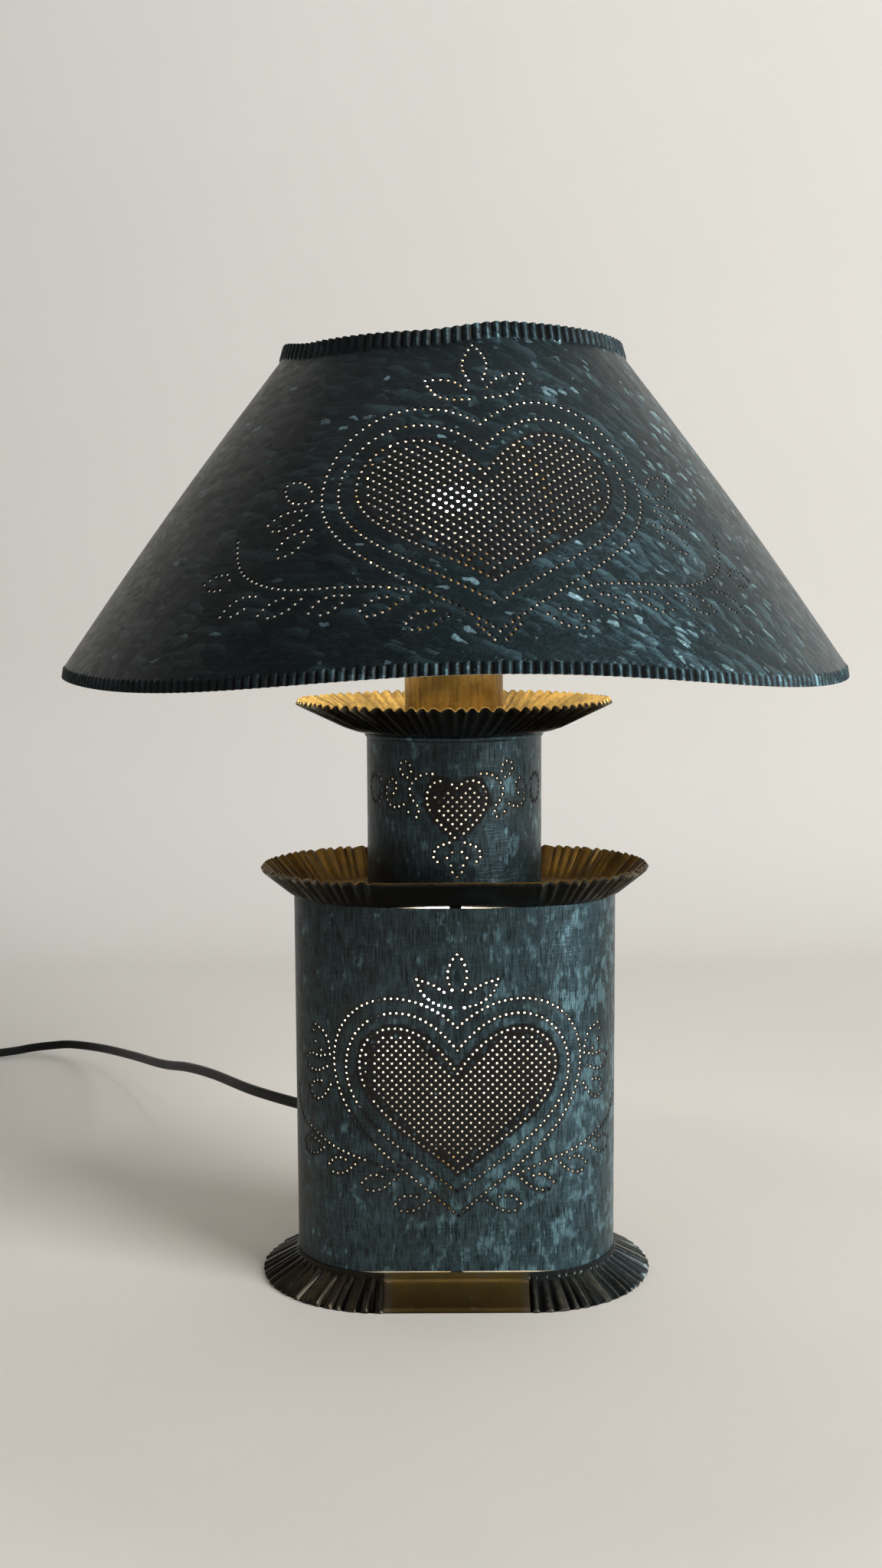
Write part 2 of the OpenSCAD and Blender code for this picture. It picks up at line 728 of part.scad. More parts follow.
coil_loops = [for (k = [0 : coil_turns * rings_a_turn]) coil_point(k / rings_a_turn)];
coil_path = concat([coil_lead_in], coil_loops,
                   [tail_point(cord_w),
                    for (s = [tail_flat : 10 : tail_flat + tail_drop]) tail_point(s),
                    tail_point(tail_l)]);

// Least gap between loops, where two sections clear each other sideways or one above the other
coil_gap = min([for (i = [0 : len(coil_loops) - 1], j = [i + rings_a_turn / 2 : len(coil_loops) - 1])
    let (d = coil_loops[j] - coil_loops[i]) max(norm([d[0], d[1]]) - cord_t, abs(d[2]) - cord_w)]);
echo(coil_gap = coil_gap);

module cord_run() {
    loose = concat([cord_exit + cord_w * cord_out], cord_points, [coil_lead_in - cord_w * coil_head]);
    path = concat([cord_exit], curve(loose, 3), [coil_lead_in]);
    color(black) tube(path, section(cord_w, cord_t, 8), [0, 0, 1]);
}

module cord_coil() {
    color(black) tube(coil_path, section(cord_w, cord_t, 6), [0, 0, 1]);
}

module cord_tie() {
    inside = coil_in_r - coil_pitch - cord_t / 2;
    deep = coil_r + cord_t - inside;
    tall = coil_layer + cord_w + 2 * (cord_rest - cord_w / 2 - tie_t);
    color(black) translate([coil_at[0], coil_at[1], 0]) rotate([0, 0, tie_dir]) difference() {
        translate([inside - tie_t, -tie_w / 2, 0]) cube([deep + 2 * tie_t, tie_w, tall + 2 * tie_t]);
        translate([inside, -tie_w, tie_t]) cube([deep, 2 * tie_w, tall]);
    }
}

module at_plug() translate(plug_at) rotate([0, 0, coil_end_dir + 90]) children();

module plug_body() {
    neck_l = 8;
    shoulder = 6;
    color(black) at_plug() {
        translate([0, 0, plug_h / 2]) rotate([0, 90, 0]) cylinder(r = plug_h / 2 - 0.5, h = neck_l);
        translate([neck_l, 0, 0]) linear_extrude(height = plug_h)
            polygon([[0, -plug_w / 4], [shoulder, -plug_w / 2], [plug_l - neck_l, -plug_w / 2],
                     [plug_l - neck_l, plug_w / 2], [shoulder, plug_w / 2], [0, plug_w / 4]]);
    }
}

module plug_blades() {
    color(brass) at_plug() for (s = [-1, 1])
        translate([plug_l, s * blade_gap / 2 - blade_t / 2, (plug_h - blade_w) / 2])
            cube([blade_l, blade_t, blade_w]);
}

base_flange();
base_plate();
base_tabs();
body_shell();
top_tabs();
lower_pan();
neck_tube();
upper_pan();
candle_tube();
candle_cap();
lamp_pipe();
lock_nuts();
lock_washer();
harp_saddle();
harp_sleeves();
harp();
harp_stud();
finial();
shade_shell();
shade_washer();
shade_arms();
socket_cap();
socket_core();
socket_screw();
socket_liner();
socket_shell();
switch_shaft();
switch_knob();
bulb_base();
bulb_glass();
socket_strap();
strap_screws();
strap_nuts();
lower_pipe();
lower_cap();
lower_core();
lower_screw();
lower_shell();
lower_bulb_base();
lower_bulb_glass();
cord_eyelet();
cord_lead();
splice_cap();
lower_lead();
upper_lead();
cord_run();
cord_coil();
cord_tie();
plug_body();
plug_blades();
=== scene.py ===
"""Punched tin table lamp: the sheets, pans, cord, bulbs and finishes that are built around its fixed frame."""

import math

import bmesh
import bpy
import numpy as np
from bpy.props import FloatProperty, FloatVectorProperty, IntProperty, PointerProperty
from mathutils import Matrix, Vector, geometry


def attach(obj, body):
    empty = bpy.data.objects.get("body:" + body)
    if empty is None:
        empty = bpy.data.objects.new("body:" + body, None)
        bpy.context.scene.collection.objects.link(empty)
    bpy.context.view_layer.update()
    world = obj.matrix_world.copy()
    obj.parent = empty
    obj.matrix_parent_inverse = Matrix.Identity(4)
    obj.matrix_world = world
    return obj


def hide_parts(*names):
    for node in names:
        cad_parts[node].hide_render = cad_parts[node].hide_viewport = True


bl_info = {
    "name": "Punched Tin Lamp",
    "version": (1, 0, 0),
    "blender": (4, 5, 0),
    "location": "View3D > Sidebar > Lamp",
    "description": "Builds the sheets, pans, cord and bulbs of a punched tin table lamp around its frame",
    "category": "Add Mesh",
}

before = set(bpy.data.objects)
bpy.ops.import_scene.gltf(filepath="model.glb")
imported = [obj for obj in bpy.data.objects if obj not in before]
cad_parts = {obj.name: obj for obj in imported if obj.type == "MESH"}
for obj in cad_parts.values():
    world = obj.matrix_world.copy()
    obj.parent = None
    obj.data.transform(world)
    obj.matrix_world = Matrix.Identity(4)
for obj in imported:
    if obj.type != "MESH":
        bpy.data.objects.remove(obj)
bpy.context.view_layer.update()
MM = 0.001

# Heights and radii of the frame's sheets, in millimetres
HALF = 36.5
BODY_R = 46.0
NECK_R = 44.5
NECK_Z = (199.3, 283.0)
BEAD_R = 1.4
BASE_TOP = 14.0
BASE_FLARE = 18.0
PAN_FLOOR = 198.7
PAN_RIM = (16.5, 14.6)
TOP_FLOOR = 283.0
TOP_FLOOR_R = 52.0
TOP_RIM = (28.0, 14.4)
CANDLE_R = 25.0
CANDLE_Z = (283.6, 317.6)
SOCKET_Z = 319.4
LOWER_SOCKET = (-6.0, 0.0, 62.0)
GLOBE_Z = 79.0

# Body sheet: its edges, the dip of its top edge that leaves a slit over its front and back, and the drop of its
# foot round the ends
BODY_FOOT, BODY_TOP = 14.6, 199.15
SLIT_H, SLIT_HALF, SLIT_FADE = 0.90, 44.0, 6.0
FOOT_DROP, FOOT_RUN = 0.7, 18.0

# Lapped seam of the body and neck: its width, where the step up to it begins, the step's run and the gap between
# the two layers
LAP_W, LAP_FROM, LAP_STEP, LAP_GAP = 7.0, 4.0, 3.0, 0.06

# Where the seams lie: distances along the body and neck from the middle of the front, and an angle on the shade
BODY_SEAM, NECK_SEAM, SHADE_SEAM = 122.0, 92.0, 104.0

# How far the punched pattern stands to the right of the middle
BODY_SHIFT, NECK_SHIFT = (0.8, 0.0, 0.0), (1.0, 0.0, 0.0)

# Points of the flat sheets: fine and coarse spacing, how near a hole is fine, and how clear of its dent
GRID_FINE, GRID_COARSE, GRID_NEAR, GRID_CLEAR = 2.6, 5.2, 4.6, 0.75
SHADE_GRID, SHADE_NEAR, SHADE_CLEAR, SHADE_MARGIN = 2.9, 4.8, 0.9, 4.0
HOLE_SIDES = 8

# Rolled bead of the neck: how its rows spread, how far it swells, and its rows and points
BEAD_SPREAD, BEAD_SWELL, BEAD_ROWS, BEAD_POINTS = 1.25, 0.8, 4, 110

# Shade: half width and depth at its bottom edge, the two edges' heights and the bands along them
SHADE_W, SHADE_D = 194.0, 207.0
SHADE_Z = (312.4, 472.4)
SHADE_TOP_SHARE = 167.0 / 388.0
LOW_LEAN, HIGH_LEAN = 0.9 / 194.0, 2.15 / 194.0
SHADE_BULGE = 2.0 / 194.0
LOW_BAND, HIGH_BAND = 5.4, 7.4
EDGE_RISE, EDGE_DIP, TOP_RISE = 7.6, 5.7, 0.8
TOP_DIP, DIP_AT, DIP_WIDE, DIP_SOFT = 4.0, math.radians(-36), math.radians(48), math.radians(28)
SHADE_YAW = math.radians(5)

# Flat cut of the shade's cone: its share of a full turn and the slant distances of its edges from the apex
CONE_TURN = 0.6028
CONE_LOW, CONE_HIGH, CONE_MID = 331.35, 146.85, 238.0
SHADE_LAP, SHADE_LAP_GAP = 8.0, 0.08
SHADE_LAP_FROM, SHADE_LAP_STEP = 0.016, 0.012
SHADE_DENT_GAIN = 1.7

# Camera: its place and turn in metres and radians, and the photograph's focal length and height in pixels
CAMERA_AT = (-0.00626, -0.89591, 0.35094)
CAMERA_TILT, CAMERA_ROLL = 0.107, 0.005
FOCAL_PX, PHOTO_H, SENSOR = 2300, 2048, 36.0

# Floor and backdrop, in metres
FLOOR_FRONT, FLOOR_BACK, FLOOR_SIDE = -2.2, 0.75, 2.4
SWEEP_R, SWEEP_STEPS, WALL_TOP = 0.3, 12, 2.4

# Pleated sheets: points to a pleat and along a plain side, the angle of a crisp edge, and what counts as the inside
PLEAT_POINTS, PLAIN_POINTS = 8, 12
PLEAT_SHARP = 30.0
LOOKS_UP = 0.25

# Fixed tones of the finishes: black painted shade in the dents of the tin and of the shade, and brown on the shade,
# part rust and part painted shade over its left side
TIN_DENT_SHADOW = (0.006, 0.005, 0.004, 1.0)
SHADE_DENT_SHADOW = (0.005, 0.005, 0.005, 1.0)
SHADE_RUST_AND_SHADOW = (0.018, 0.017, 0.015, 1.0)


class LampSizes(bpy.types.PropertyGroup):
    """Sizes of the tin work."""

    sheet: FloatProperty(name="Sheet", description="Thickness of the tin", default=0.0006, unit="LENGTH")
    hole: FloatProperty(name="Hole", description="Diameter of a punched hole", default=0.00108, unit="LENGTH")
    shade_hole: FloatProperty(name="Shade hole", description="Diameter of a punched hole in the shade",
                              default=0.00108, unit="LENGTH")
    dent: FloatProperty(name="Dent", description="Diameter of the dent round a hole", default=0.0026, unit="LENGTH")
    dent_depth: FloatProperty(name="Dent depth", description="How far a hole's edge is pushed in",
                              default=0.00035, unit="LENGTH")
    body_step: FloatProperty(name="Body spacing", description="Distance from hole to hole on body and neck",
                             default=0.00306, unit="LENGTH")
    shade_step: FloatProperty(name="Shade spacing", description="Distance from hole to hole on the shade",
                              default=0.0036, unit="LENGTH")
    pleat: FloatProperty(name="Pleat depth", description="Half depth of the pleats at a pan's rim",
                         default=0.00125, unit="LENGTH")
    top_pleats: IntProperty(name="Upper pleats", description="Pleats round the upper pan", default=84)
    pan_pleats: IntProperty(name="Lower pleats", description="Pleats round each end of the lower pan", default=33)
    base_pleats: IntProperty(name="Base pleats", description="Pleats round each end of the base", default=31)
    top_flutes: IntProperty(name="Top flutes", description="Flutes along the shade's top edge", default=116)
    low_flutes: IntProperty(name="Bottom flutes", description="Flutes along the shade's bottom edge", default=292)
    flute: FloatProperty(name="Flute depth", description="Half depth of the shade's flutes",
                         default=0.0008, unit="LENGTH")
    cord_width: FloatProperty(name="Cord width", description="Width of the flat cord", default=0.0062, unit="LENGTH")
    cord_thick: FloatProperty(name="Cord thickness", description="Thickness of the flat cord",
                              default=0.0032, unit="LENGTH")


class LampColours(bpy.types.PropertyGroup):
    """Colours of the finishes."""

    tin: FloatVectorProperty(name="Tin", description="Blued tin of the body and neck", subtype="COLOR",
                             default=(0.040, 0.070, 0.083))
    # Browned tin: rust patches, and painted shade towards the body's left
    tin_rust_and_shadow: FloatVectorProperty(name="Browned tin", description="Browned areas of the blued tin", subtype="COLOR",
                                  default=(0.034, 0.029, 0.022))
    # Pale patches, laid on more thickly towards the body's right as painted light
    tin_pale: FloatVectorProperty(name="Pale tin", description="Worn patches of the blued tin", subtype="COLOR",
                                  default=(0.25, 0.46, 0.54))
    shade: FloatVectorProperty(name="Shade tin", description="Dark flakes of the shade", subtype="COLOR",
                               default=(0.029, 0.054, 0.063))
    # Painted glints on the bright flakes of the shade
    shade_painted_glint: FloatVectorProperty(name="Pale flakes", description="Bright flakes of the shade", subtype="COLOR",
                                    default=(0.38, 0.62, 0.69))
    pan: FloatVectorProperty(name="Pan tin", description="Brown-black tin of the pans", subtype="COLOR",
                             default=(0.021, 0.018, 0.013))
    pan_worn: FloatVectorProperty(name="Bright pan", description="Brassy inside of the upper pan", subtype="COLOR",
                                  default=(0.42, 0.28, 0.08))
    # Dulled brass, which is also a darker copy of the brassy inside, as painted shade inside the lower pan
    pan_dull_and_shaded: FloatVectorProperty(name="Dull pan", description="Dulled brass inside the lower pan",
                                  subtype="COLOR", default=(0.105, 0.058, 0.009))
    base_front: FloatVectorProperty(name="Base front", description="Plain front and back of the base", subtype="COLOR",
                                    default=(0.062, 0.044, 0.015))
    # Rubbed ridges and rims, lit up as a painted highlight as well
    pan_rub_and_sheen: FloatVectorProperty(name="Rubbed pan", description="Rubbed ridges and rims of the pans", subtype="COLOR",
                                 default=(0.33, 0.30, 0.24))
    brass: FloatVectorProperty(name="Brass", description="Sockets, harp and pipes", subtype="COLOR",
                               default=(0.62, 0.44, 0.18))
    steel: FloatVectorProperty(name="Steel", description="Screws, nuts and strap", subtype="COLOR",
                               default=(0.56, 0.56, 0.55))
    cord: FloatVectorProperty(name="Cord", description="Cord sheath and black mouldings", subtype="COLOR",
                              default=(0.012, 0.012, 0.013))
    bare: FloatVectorProperty(name="Bare tin", description="Bright tin inside the sheets", subtype="COLOR",
                              default=(0.82, 0.80, 0.76))
    card: FloatVectorProperty(name="Card", description="Socket liner", subtype="COLOR", default=(0.5, 0.42, 0.29))
    glow: FloatVectorProperty(name="Glow", description="Light of the bulbs", subtype="COLOR",
                              default=(1.0, 0.86, 0.66))
    floor: FloatVectorProperty(name="Floor", description="Floor and backdrop", subtype="COLOR",
                               default=(0.66, 0.64, 0.60))


class LampLight(bpy.types.PropertyGroup):
    """Strengths of the bulbs and of the studio."""

    core: FloatProperty(name="Upper bulb", description="Strength of the upper bulb's capsule", default=230.0)
    lower_core: FloatProperty(name="Lower bulb", description="Strength of the lower bulb's capsule", default=185.0)
    globe: FloatProperty(name="Globe", description="Strength of a globe's own faint glow", default=0.06)
    key: FloatProperty(name="Key", description="Power of the key light", default=203.0, unit="POWER")
    fill: FloatProperty(name="Fill", description="Power of the fill light", default=2.0, unit="POWER")
    top: FloatProperty(name="Top", description="Power of the top light", default=5.0, unit="POWER")
    world: FloatProperty(name="World", description="Strength of the even light all round", default=0.13)


# Shader maths


class Value:
    """A shader socket that takes part in Python sums; each sum adds its Math node."""

    def __init__(self, finish, socket):
        self.finish, self.socket = finish, socket

    def maths(self, operation, *terms):
        node = self.finish.add("ShaderNodeMath", {"operation": operation})
        for socket, term in zip(node.inputs, terms):
            self.finish.feed(socket, term)
        return Value(self.finish, node.outputs[0])

    def __add__(self, other):
        return self.maths("ADD", self, other)

    def __radd__(self, other):
        return self.maths("ADD", other, self)

    def __sub__(self, other):
        return self.maths("SUBTRACT", self, other)

    def __rsub__(self, other):
        return self.maths("SUBTRACT", other, self)

    def __mul__(self, other):
        return self.maths("MULTIPLY", self, other)

    def __rmul__(self, other):
        return self.maths("MULTIPLY", other, self)

    def ramp(self, low, high):
        """0 below low, 1 above high and a smooth rise between."""
        return self.finish.node("ShaderNodeMapRange", {"interpolation_type": "SMOOTHSTEP"},
                                {"Value": self, "From Min": low, "From Max": high})


class Finish:
    """A material under construction."""

    def __init__(self, name):
        self.material = bpy.data.materials.new(name)
        self.material.use_nodes = True
        self.tree = self.material.node_tree
        self.tree.nodes.clear()

    def add(self, kind, settings):
        node = self.tree.nodes.new(kind)
        for key, value in settings.items():
            setattr(node, key, value)
        return node

    def feed(self, socket, value):
        if isinstance(value, Value):
            self.tree.links.new(value.socket, socket)
        else:
            socket.default_value = value

    def node(self, kind, settings, sockets, output=0):
        node = self.add(kind, settings)
        for key, value in sockets.items():
            self.feed(node.inputs[key], value)
        return Value(self, node.outputs[output])

    def mix(self, share, first, second):
        """Colour between two colours."""
        node = self.add("ShaderNodeMix", {"data_type": "RGBA"})
        for index, value in ((0, share), (6, first), (7, second)):
            self.feed(node.inputs[index], value)
        return Value(self, node.outputs[2])

    def place(self, attribute=None):
        """Object coordinates, or a named attribute of the piece."""
        if attribute:
            return self.node("ShaderNodeAttribute", {"attribute_name": attribute}, {}, "Vector")
        return self.node("ShaderNodeTexCoord", {}, {}, "Object")

    def number(self, attribute):
        return self.node("ShaderNodeAttribute", {"attribute_name": attribute}, {}, "Fac")

    def grid(self, place, cell, turn=0.0):
        """Coordinates counted in cells of a size in metres, whose first side is turned from the x axis."""
        return self.node("ShaderNodeMapping", {"vector_type": "TEXTURE"},
                         {"Vector": place, "Scale": cell, "Rotation": (0.0, 0.0, turn)})

    def noise(self, place, scale, detail=3.0, rough=0.5, output="Fac"):
        return self.node("ShaderNodeTexNoise", {}, {"Vector": place, "Scale": scale, "Detail": detail,
                                                    "Roughness": rough}, output)

    def cells(self, place, output):
        return self.node("ShaderNodeTexVoronoi", {}, {"Vector": place, "Scale": 1.0}, output)

    def vector(self, operation, first, second, output=0):
        node = self.add("ShaderNodeVectorMath", {"operation": operation})
        self.feed(node.inputs[0], first)
        self.feed(node.inputs[1], second)
        return Value(self, node.outputs[output])

    def along(self, place, direction):
        """How far a place lies along a direction."""
        return self.vector("DOT_PRODUCT", place, direction, "Value")

    def bump(self, height, distance, strength):
        return self.node("ShaderNodeBump", {}, {"Height": height, "Distance": distance, "Strength": strength})

    def done(self, **sockets):
        """Close the material with a Principled shader; names use _ for spaces."""
        shader = self.add("ShaderNodeBsdfPrincipled", {})
        for key, value in sockets.items():
            self.feed(shader.inputs[key.replace("_", " ")], value)
        out = self.add("ShaderNodeOutputMaterial", {})
        self.tree.links.new(shader.outputs[0], out.inputs[0])
        return self.material

    def one_sided(self):
        """Make the closed material clear where it is seen from behind."""
        surface = next(node for node in self.tree.nodes if node.bl_idname == "ShaderNodeOutputMaterial").inputs[0]
        shader = surface.links[0].from_socket
        mix = self.add("ShaderNodeMixShader", {})
        self.feed(mix.inputs[0], self.node("ShaderNodeNewGeometry", {}, {}, "Backfacing"))
        self.tree.links.new(shader, mix.inputs[1])
        self.tree.links.new(self.add("ShaderNodeBsdfTransparent", {}).outputs[0], mix.inputs[2])
        self.tree.links.new(mix.outputs[0], surface)
        return self.material


def rgba(colour, gain=1.0):
    return tuple(c * gain for c in colour) + (1.0,)


def tin_finish(colours):
    """Blued tin: fine upright dashes, faint cross lines, soft blocks and pale clusters, black painted shade in the
    dents; painted light makes it lighter with more pale clusters towards the right, and painted shade makes it browner
    towards the left.
    """
    f = Finish("blued_tin")
    flat = f.place("flat")
    wander = f.vector("MULTIPLY", f.noise(flat, 45.0, 2.0, output="Color"), (0.0016, 0.0, 0.0))
    bent = f.vector("ADD", flat, wander)
    upright = f.noise(f.grid(bent, (0.00046, 0.0100, 1.0)), 1.0, 2.0, 0.55).ramp(0.38, 0.52)
    broad = f.noise(f.grid(bent, (0.0016, 0.0130, 1.0)), 1.0, 2.0, 0.55).ramp(0.42, 0.62)
    across = f.noise(f.grid(bent, (0.0090, 0.0008, 1.0)), 1.0, 2.0, 0.5).ramp(0.48, 0.66)
    block = f.noise(f.grid(bent, (0.0060, 0.0120, 1.0)), 1.0, 2.0, 0.5).ramp(0.50, 0.62)
    cloud = f.noise(flat, 18.0, 3.0, 0.5).ramp(0.32, 0.68)
    # Painted light: a share that rises towards the body's right, where the tin is lit
    tin_painted_light_side = f.along(f.place(), (1.0, 0.0, -0.20)).ramp(-0.11, 0.06)
    strip = f.noise(f.grid(bent, (0.0042, 0.0090, 1.0)), 1.0, 5.0, 0.62)
    patch = f.noise(f.grid(flat, (0.0150, 0.0180, 1.0)), 1.0, 3.0, 0.6)
    thread = f.noise(f.grid(bent, (0.00036, 0.0110, 1.0)), 1.0, 2.0, 0.55).ramp(0.56, 0.66)
    cluster = (strip * 0.60 + patch * 0.40 + tin_painted_light_side * 0.075).ramp(0.565, 0.650)
    lines = upright * 0.56 + broad * 0.22 + across * 0.22
    tone = lines * 0.56 + block * 0.16 + cloud * 0.13 + tin_painted_light_side * 0.15
    dent = f.number("dent")
    colour = f.mix(tone.ramp(0.08, 0.98), rgba(colours.tin, 0.22), rgba(colours.tin, 2.0))
    colour = f.mix(cluster * (0.13 + upright * 0.36 + thread * 0.51), colour, rgba(colours.tin_pale))
    # Brown: rust patches, and painted shade that browns the tin towards the left
    brown_share = f.noise(flat, 30.0, 4.0).ramp(0.50, 0.78) * 0.32 + (1 - tin_painted_light_side) * 0.42
    colour = f.mix(brown_share, colour, rgba(colours.tin_rust_and_shadow))
    # Black painted shade in the dents round the holes
    colour = f.mix(dent.ramp(0.12, 0.72) * 0.97, colour, TIN_DENT_SHADOW)
    height = upright * 0.55 + across * 0.35 + block * 0.5 + broad * 0.3
    return f.done(Base_Color=colour, Metallic=0.92 - dent * 0.4,
                  Roughness=0.46 - lines * 0.12 - cluster * 0.06 + dent * 0.2,
                  Normal=f.bump(height, 0.00016, 0.5))


def shade_finish(colours):
    """Tin of the shade: broad slanting facets, fine hatching, bright flakes, black painted shade in the dents; each
    facet is painted lighter towards its upper edge, painted glints gather on flakes towards the right, and the tin is
    painted lighter towards the right and darker and browner towards the left.
    """
    f = Finish("flaked_tin")
    flat = f.place("flat")
    slant = -0.42
    drift = f.noise(flat, 75.0, 4.0, 0.6, output="Color")
    bent = f.vector("ADD", flat, f.vector("MULTIPLY", drift, (0.006, 0.006, 0.0)))
    facet = f.grid(bent, (0.0125, 0.0060, 1.0), slant)
    flake = f.grid(bent, (0.0056, 0.0030, 1.0), slant)
    chip = f.grid(bent, (0.0030, 0.0017, 1.0), slant - 0.2)
    facet_tint = f.cells(facet, "Color")
    flake_tint = f.cells(flake, "Color")
    facet_out = f.vector("SUBTRACT", facet, f.cells(facet, "Position"))
    flake_out = f.vector("SUBTRACT", flake, f.cells(flake, "Position"))
    upper = f.along(facet_out, (0.35, 0.95, 0.0))
    rise = f.along(flake_out, (0.30, 0.90, 0.0))
    lean = f.along(facet_out, f.vector("SUBTRACT", facet_tint, (0.5, 0.5, 0.5)))
    tilt = f.along(flake_out, f.vector("SUBTRACT", flake_tint, (0.5, 0.5, 0.5)))
    one = f.along(facet_tint, (1.0, 0.0, 0.0))
    two = f.along(flake_tint, (0.0, 1.0, 0.0))
    three = f.along(flake_tint, (0.0, 0.0, 1.0))
    four = f.along(f.cells(chip, "Color"), (1.0, 0.0, 0.0))
    hatch = f.noise(f.grid(bent, (0.0030, 0.00042, 1.0), 0.75), 1.0, 2.0, 0.6).ramp(0.40, 0.62)
    cross = f.noise(f.grid(bent, (0.0030, 0.00042, 1.0), -0.75), 1.0, 2.0, 0.6).ramp(0.40, 0.62)
    cloud = f.noise(flat, 17.0, 4.0, 0.55).ramp(0.34, 0.66)
    place = f.place()
    # Painted light: a share that rises towards the shade's right, where the tin is lit
    shade_painted_light_side = f.along(place, (1.0, 0.0, -0.30)).ramp(-0.22, 0.0)
    edge = f.along(place, (1.0, 0.0, 0.0)).ramp(0.11, 0.18)
    dent = f.number("dent")
    # Painted glints on the flakes, more towards the right and fewer near the right edge
    bright = (two + shade_painted_light_side * 0.045).ramp(0.985, 1.01) + (four + shade_painted_light_side * 0.04).ramp(1.0, 1.02) * 0.7
    lit = (0.45 + tilt * 1.6 + rise * 0.5).ramp(0.0, 0.6) * (1 - edge * 0.85)
    glint = bright * (0.40 + hatch * 0.35 + cross * 0.25) * lit * (1 - dent.ramp(0.0, 0.09))
    # Painted light on tilted facets: each facet and flake is lighter towards its upper edge
    broad = one.ramp(0.30, 0.95) * (0.42 + upper * 1.3).ramp(0.0, 1.0)
    narrow = two.ramp(0.35, 1.0) * (0.40 + rise * 1.2).ramp(0.0, 1.0)
    tone = (broad * 0.56 + narrow * 0.34 + hatch * 0.16 + cross * 0.08) * (0.50 + cloud * 0.50)
    # Painted light and shade: lighter towards the right, darker towards the left
    tone = tone * (0.60 + shade_painted_light_side * 0.40) + shade_painted_light_side * 0.16
    colour = f.mix(tone.ramp(0.03, 1.0), rgba(colours.shade, 0.32), rgba(colours.shade, 3.3))
    colour = f.mix(glint, colour, rgba(colours.shade_painted_glint))
    brown_share = f.noise(flat, 27.0, 4.0).ramp(0.50, 0.78)
    # Brown: rust patches, and painted shade over the left side
    colour = f.mix(brown_share * 0.35 + (1 - shade_painted_light_side) * 0.25, colour, SHADE_RUST_AND_SHADOW)
    # Black painted shade in the dents round the holes
    colour = f.mix(dent.ramp(0.12, 0.72) * 0.97, colour, SHADE_DENT_SHADOW)
    height = lean * 0.7 + tilt * 0.45 + (hatch + cross) * 0.05
    return f.done(Base_Color=colour, Metallic=0.93 - dent * 0.4,
                  Roughness=0.42 - three * 0.10 - glint * 0.08 + dent * 0.2,
                  Normal=f.bump(height, 0.0012, 0.5))


def bare_finish(colours):
    """Bright bare tin on the inner side of the sheets."""
    f = Finish("bare_tin")
    flat = f.place("flat")
    brush = f.noise(f.grid(flat, (0.012, 0.0009, 1.0)), 1.0, 3.0, 0.6)
    cloud = f.noise(flat, 30.0, 4.0, 0.6)
    colour = f.mix(cloud.ramp(0.35, 0.7), rgba(colours.bare, 0.86), rgba(colours.bare, 1.06))
    return f.done(Base_Color=colour, Metallic=0.30, Roughness=0.42 + brush * 0.18, Normal=f.bump(brush, 0.00006, 0.5))


def pan_finish(name, colours, base=False):
    """Brown-black tin of the pans and the base, lighter along ridges and rims with rubbed wear and a painted highlight;
    the base is bronzed over its plain front and back, lightened towards its top by a painted reflection, and its ridges
    are painted lighter and bluer towards its right end as painted light."""
    f = Finish(name)
    place = f.place()
    cloud = f.noise(place, 42.0, 5.0, 0.6)
    fine = f.noise(place, 620.0, 3.0, 0.65)
    rub = f.noise(f.grid(place, (0.0060, 0.0060, 0.0022)), 1.0, 3.0, 0.6)
    # Rubbed wear with a painted highlight along ridges and rims
    wear_and_sheen = f.number("wear_and_sheen") * (0.25 + rub.ramp(0.36, 0.64) * 0.75)
    if base:
        # Painted light: the base's ridges shine more towards its right end
        aside = f.along(place, (1.0, 0.0, 0.0))
        wear_and_sheen = wear_and_sheen * (0.06 + aside.ramp(-0.07, 0.10) * 0.56)
    worn = (cloud * 0.65 + rub * 0.35).ramp(0.50, 0.70)
    colour = f.mix(worn * 0.30, rgba(colours.pan), rgba(colours.pan_dull_and_shaded, 0.45))
    colour = f.mix(wear_and_sheen * 0.9, colour, rgba(colours.pan_rub_and_sheen))
    blue = f.noise(place, 33.0, 3.0).ramp(0.52, 0.75) * 0.5
    if base:
        # Painted reflection: the base turns bluer towards its right end
        blue = blue * 0.5 + aside.ramp(0.0, 0.09) * 0.45
    colour = f.mix(blue, colour, rgba(colours.tin, 0.8))
    colour = f.mix(fine.ramp(0.60, 0.75) * 0.4, colour, rgba(colours.pan, 0.3))
    if base:
        within = HALF * MM - aside.maths("ABSOLUTE", aside)
        # Painted reflection: the bronze is lighter towards the top of the sloping front
        high = f.along(place, (0.0, 0.0, 1.0)).ramp(0.0005, 0.0115)
        bronze = f.mix(high * 0.75 + cloud.ramp(0.35, 0.65) * 0.25, rgba(colours.base_front, 0.55),
                       rgba(colours.base_front, 1.75))
        bronze = f.mix((1 - within.ramp(0.002, 0.006)) * 0.6, bronze, rgba(colours.pan_rub_and_sheen, 0.26))
        bronze = f.mix(f.noise(place, 120.0, 3.0, 0.6).ramp(0.60, 0.74) * 0.5, bronze, rgba(colours.pan_rub_and_sheen, 0.3))
        colour = f.mix(within.ramp(-0.0004, 0.0012), colour, bronze)
    return f.done(Base_Color=colour, Metallic=0.95, Roughness=0.23 + fine * 0.14 - wear_and_sheen * 0.05,
                  Normal=f.bump(fine * 0.6 + rub * 0.5, 0.00008, 0.6))


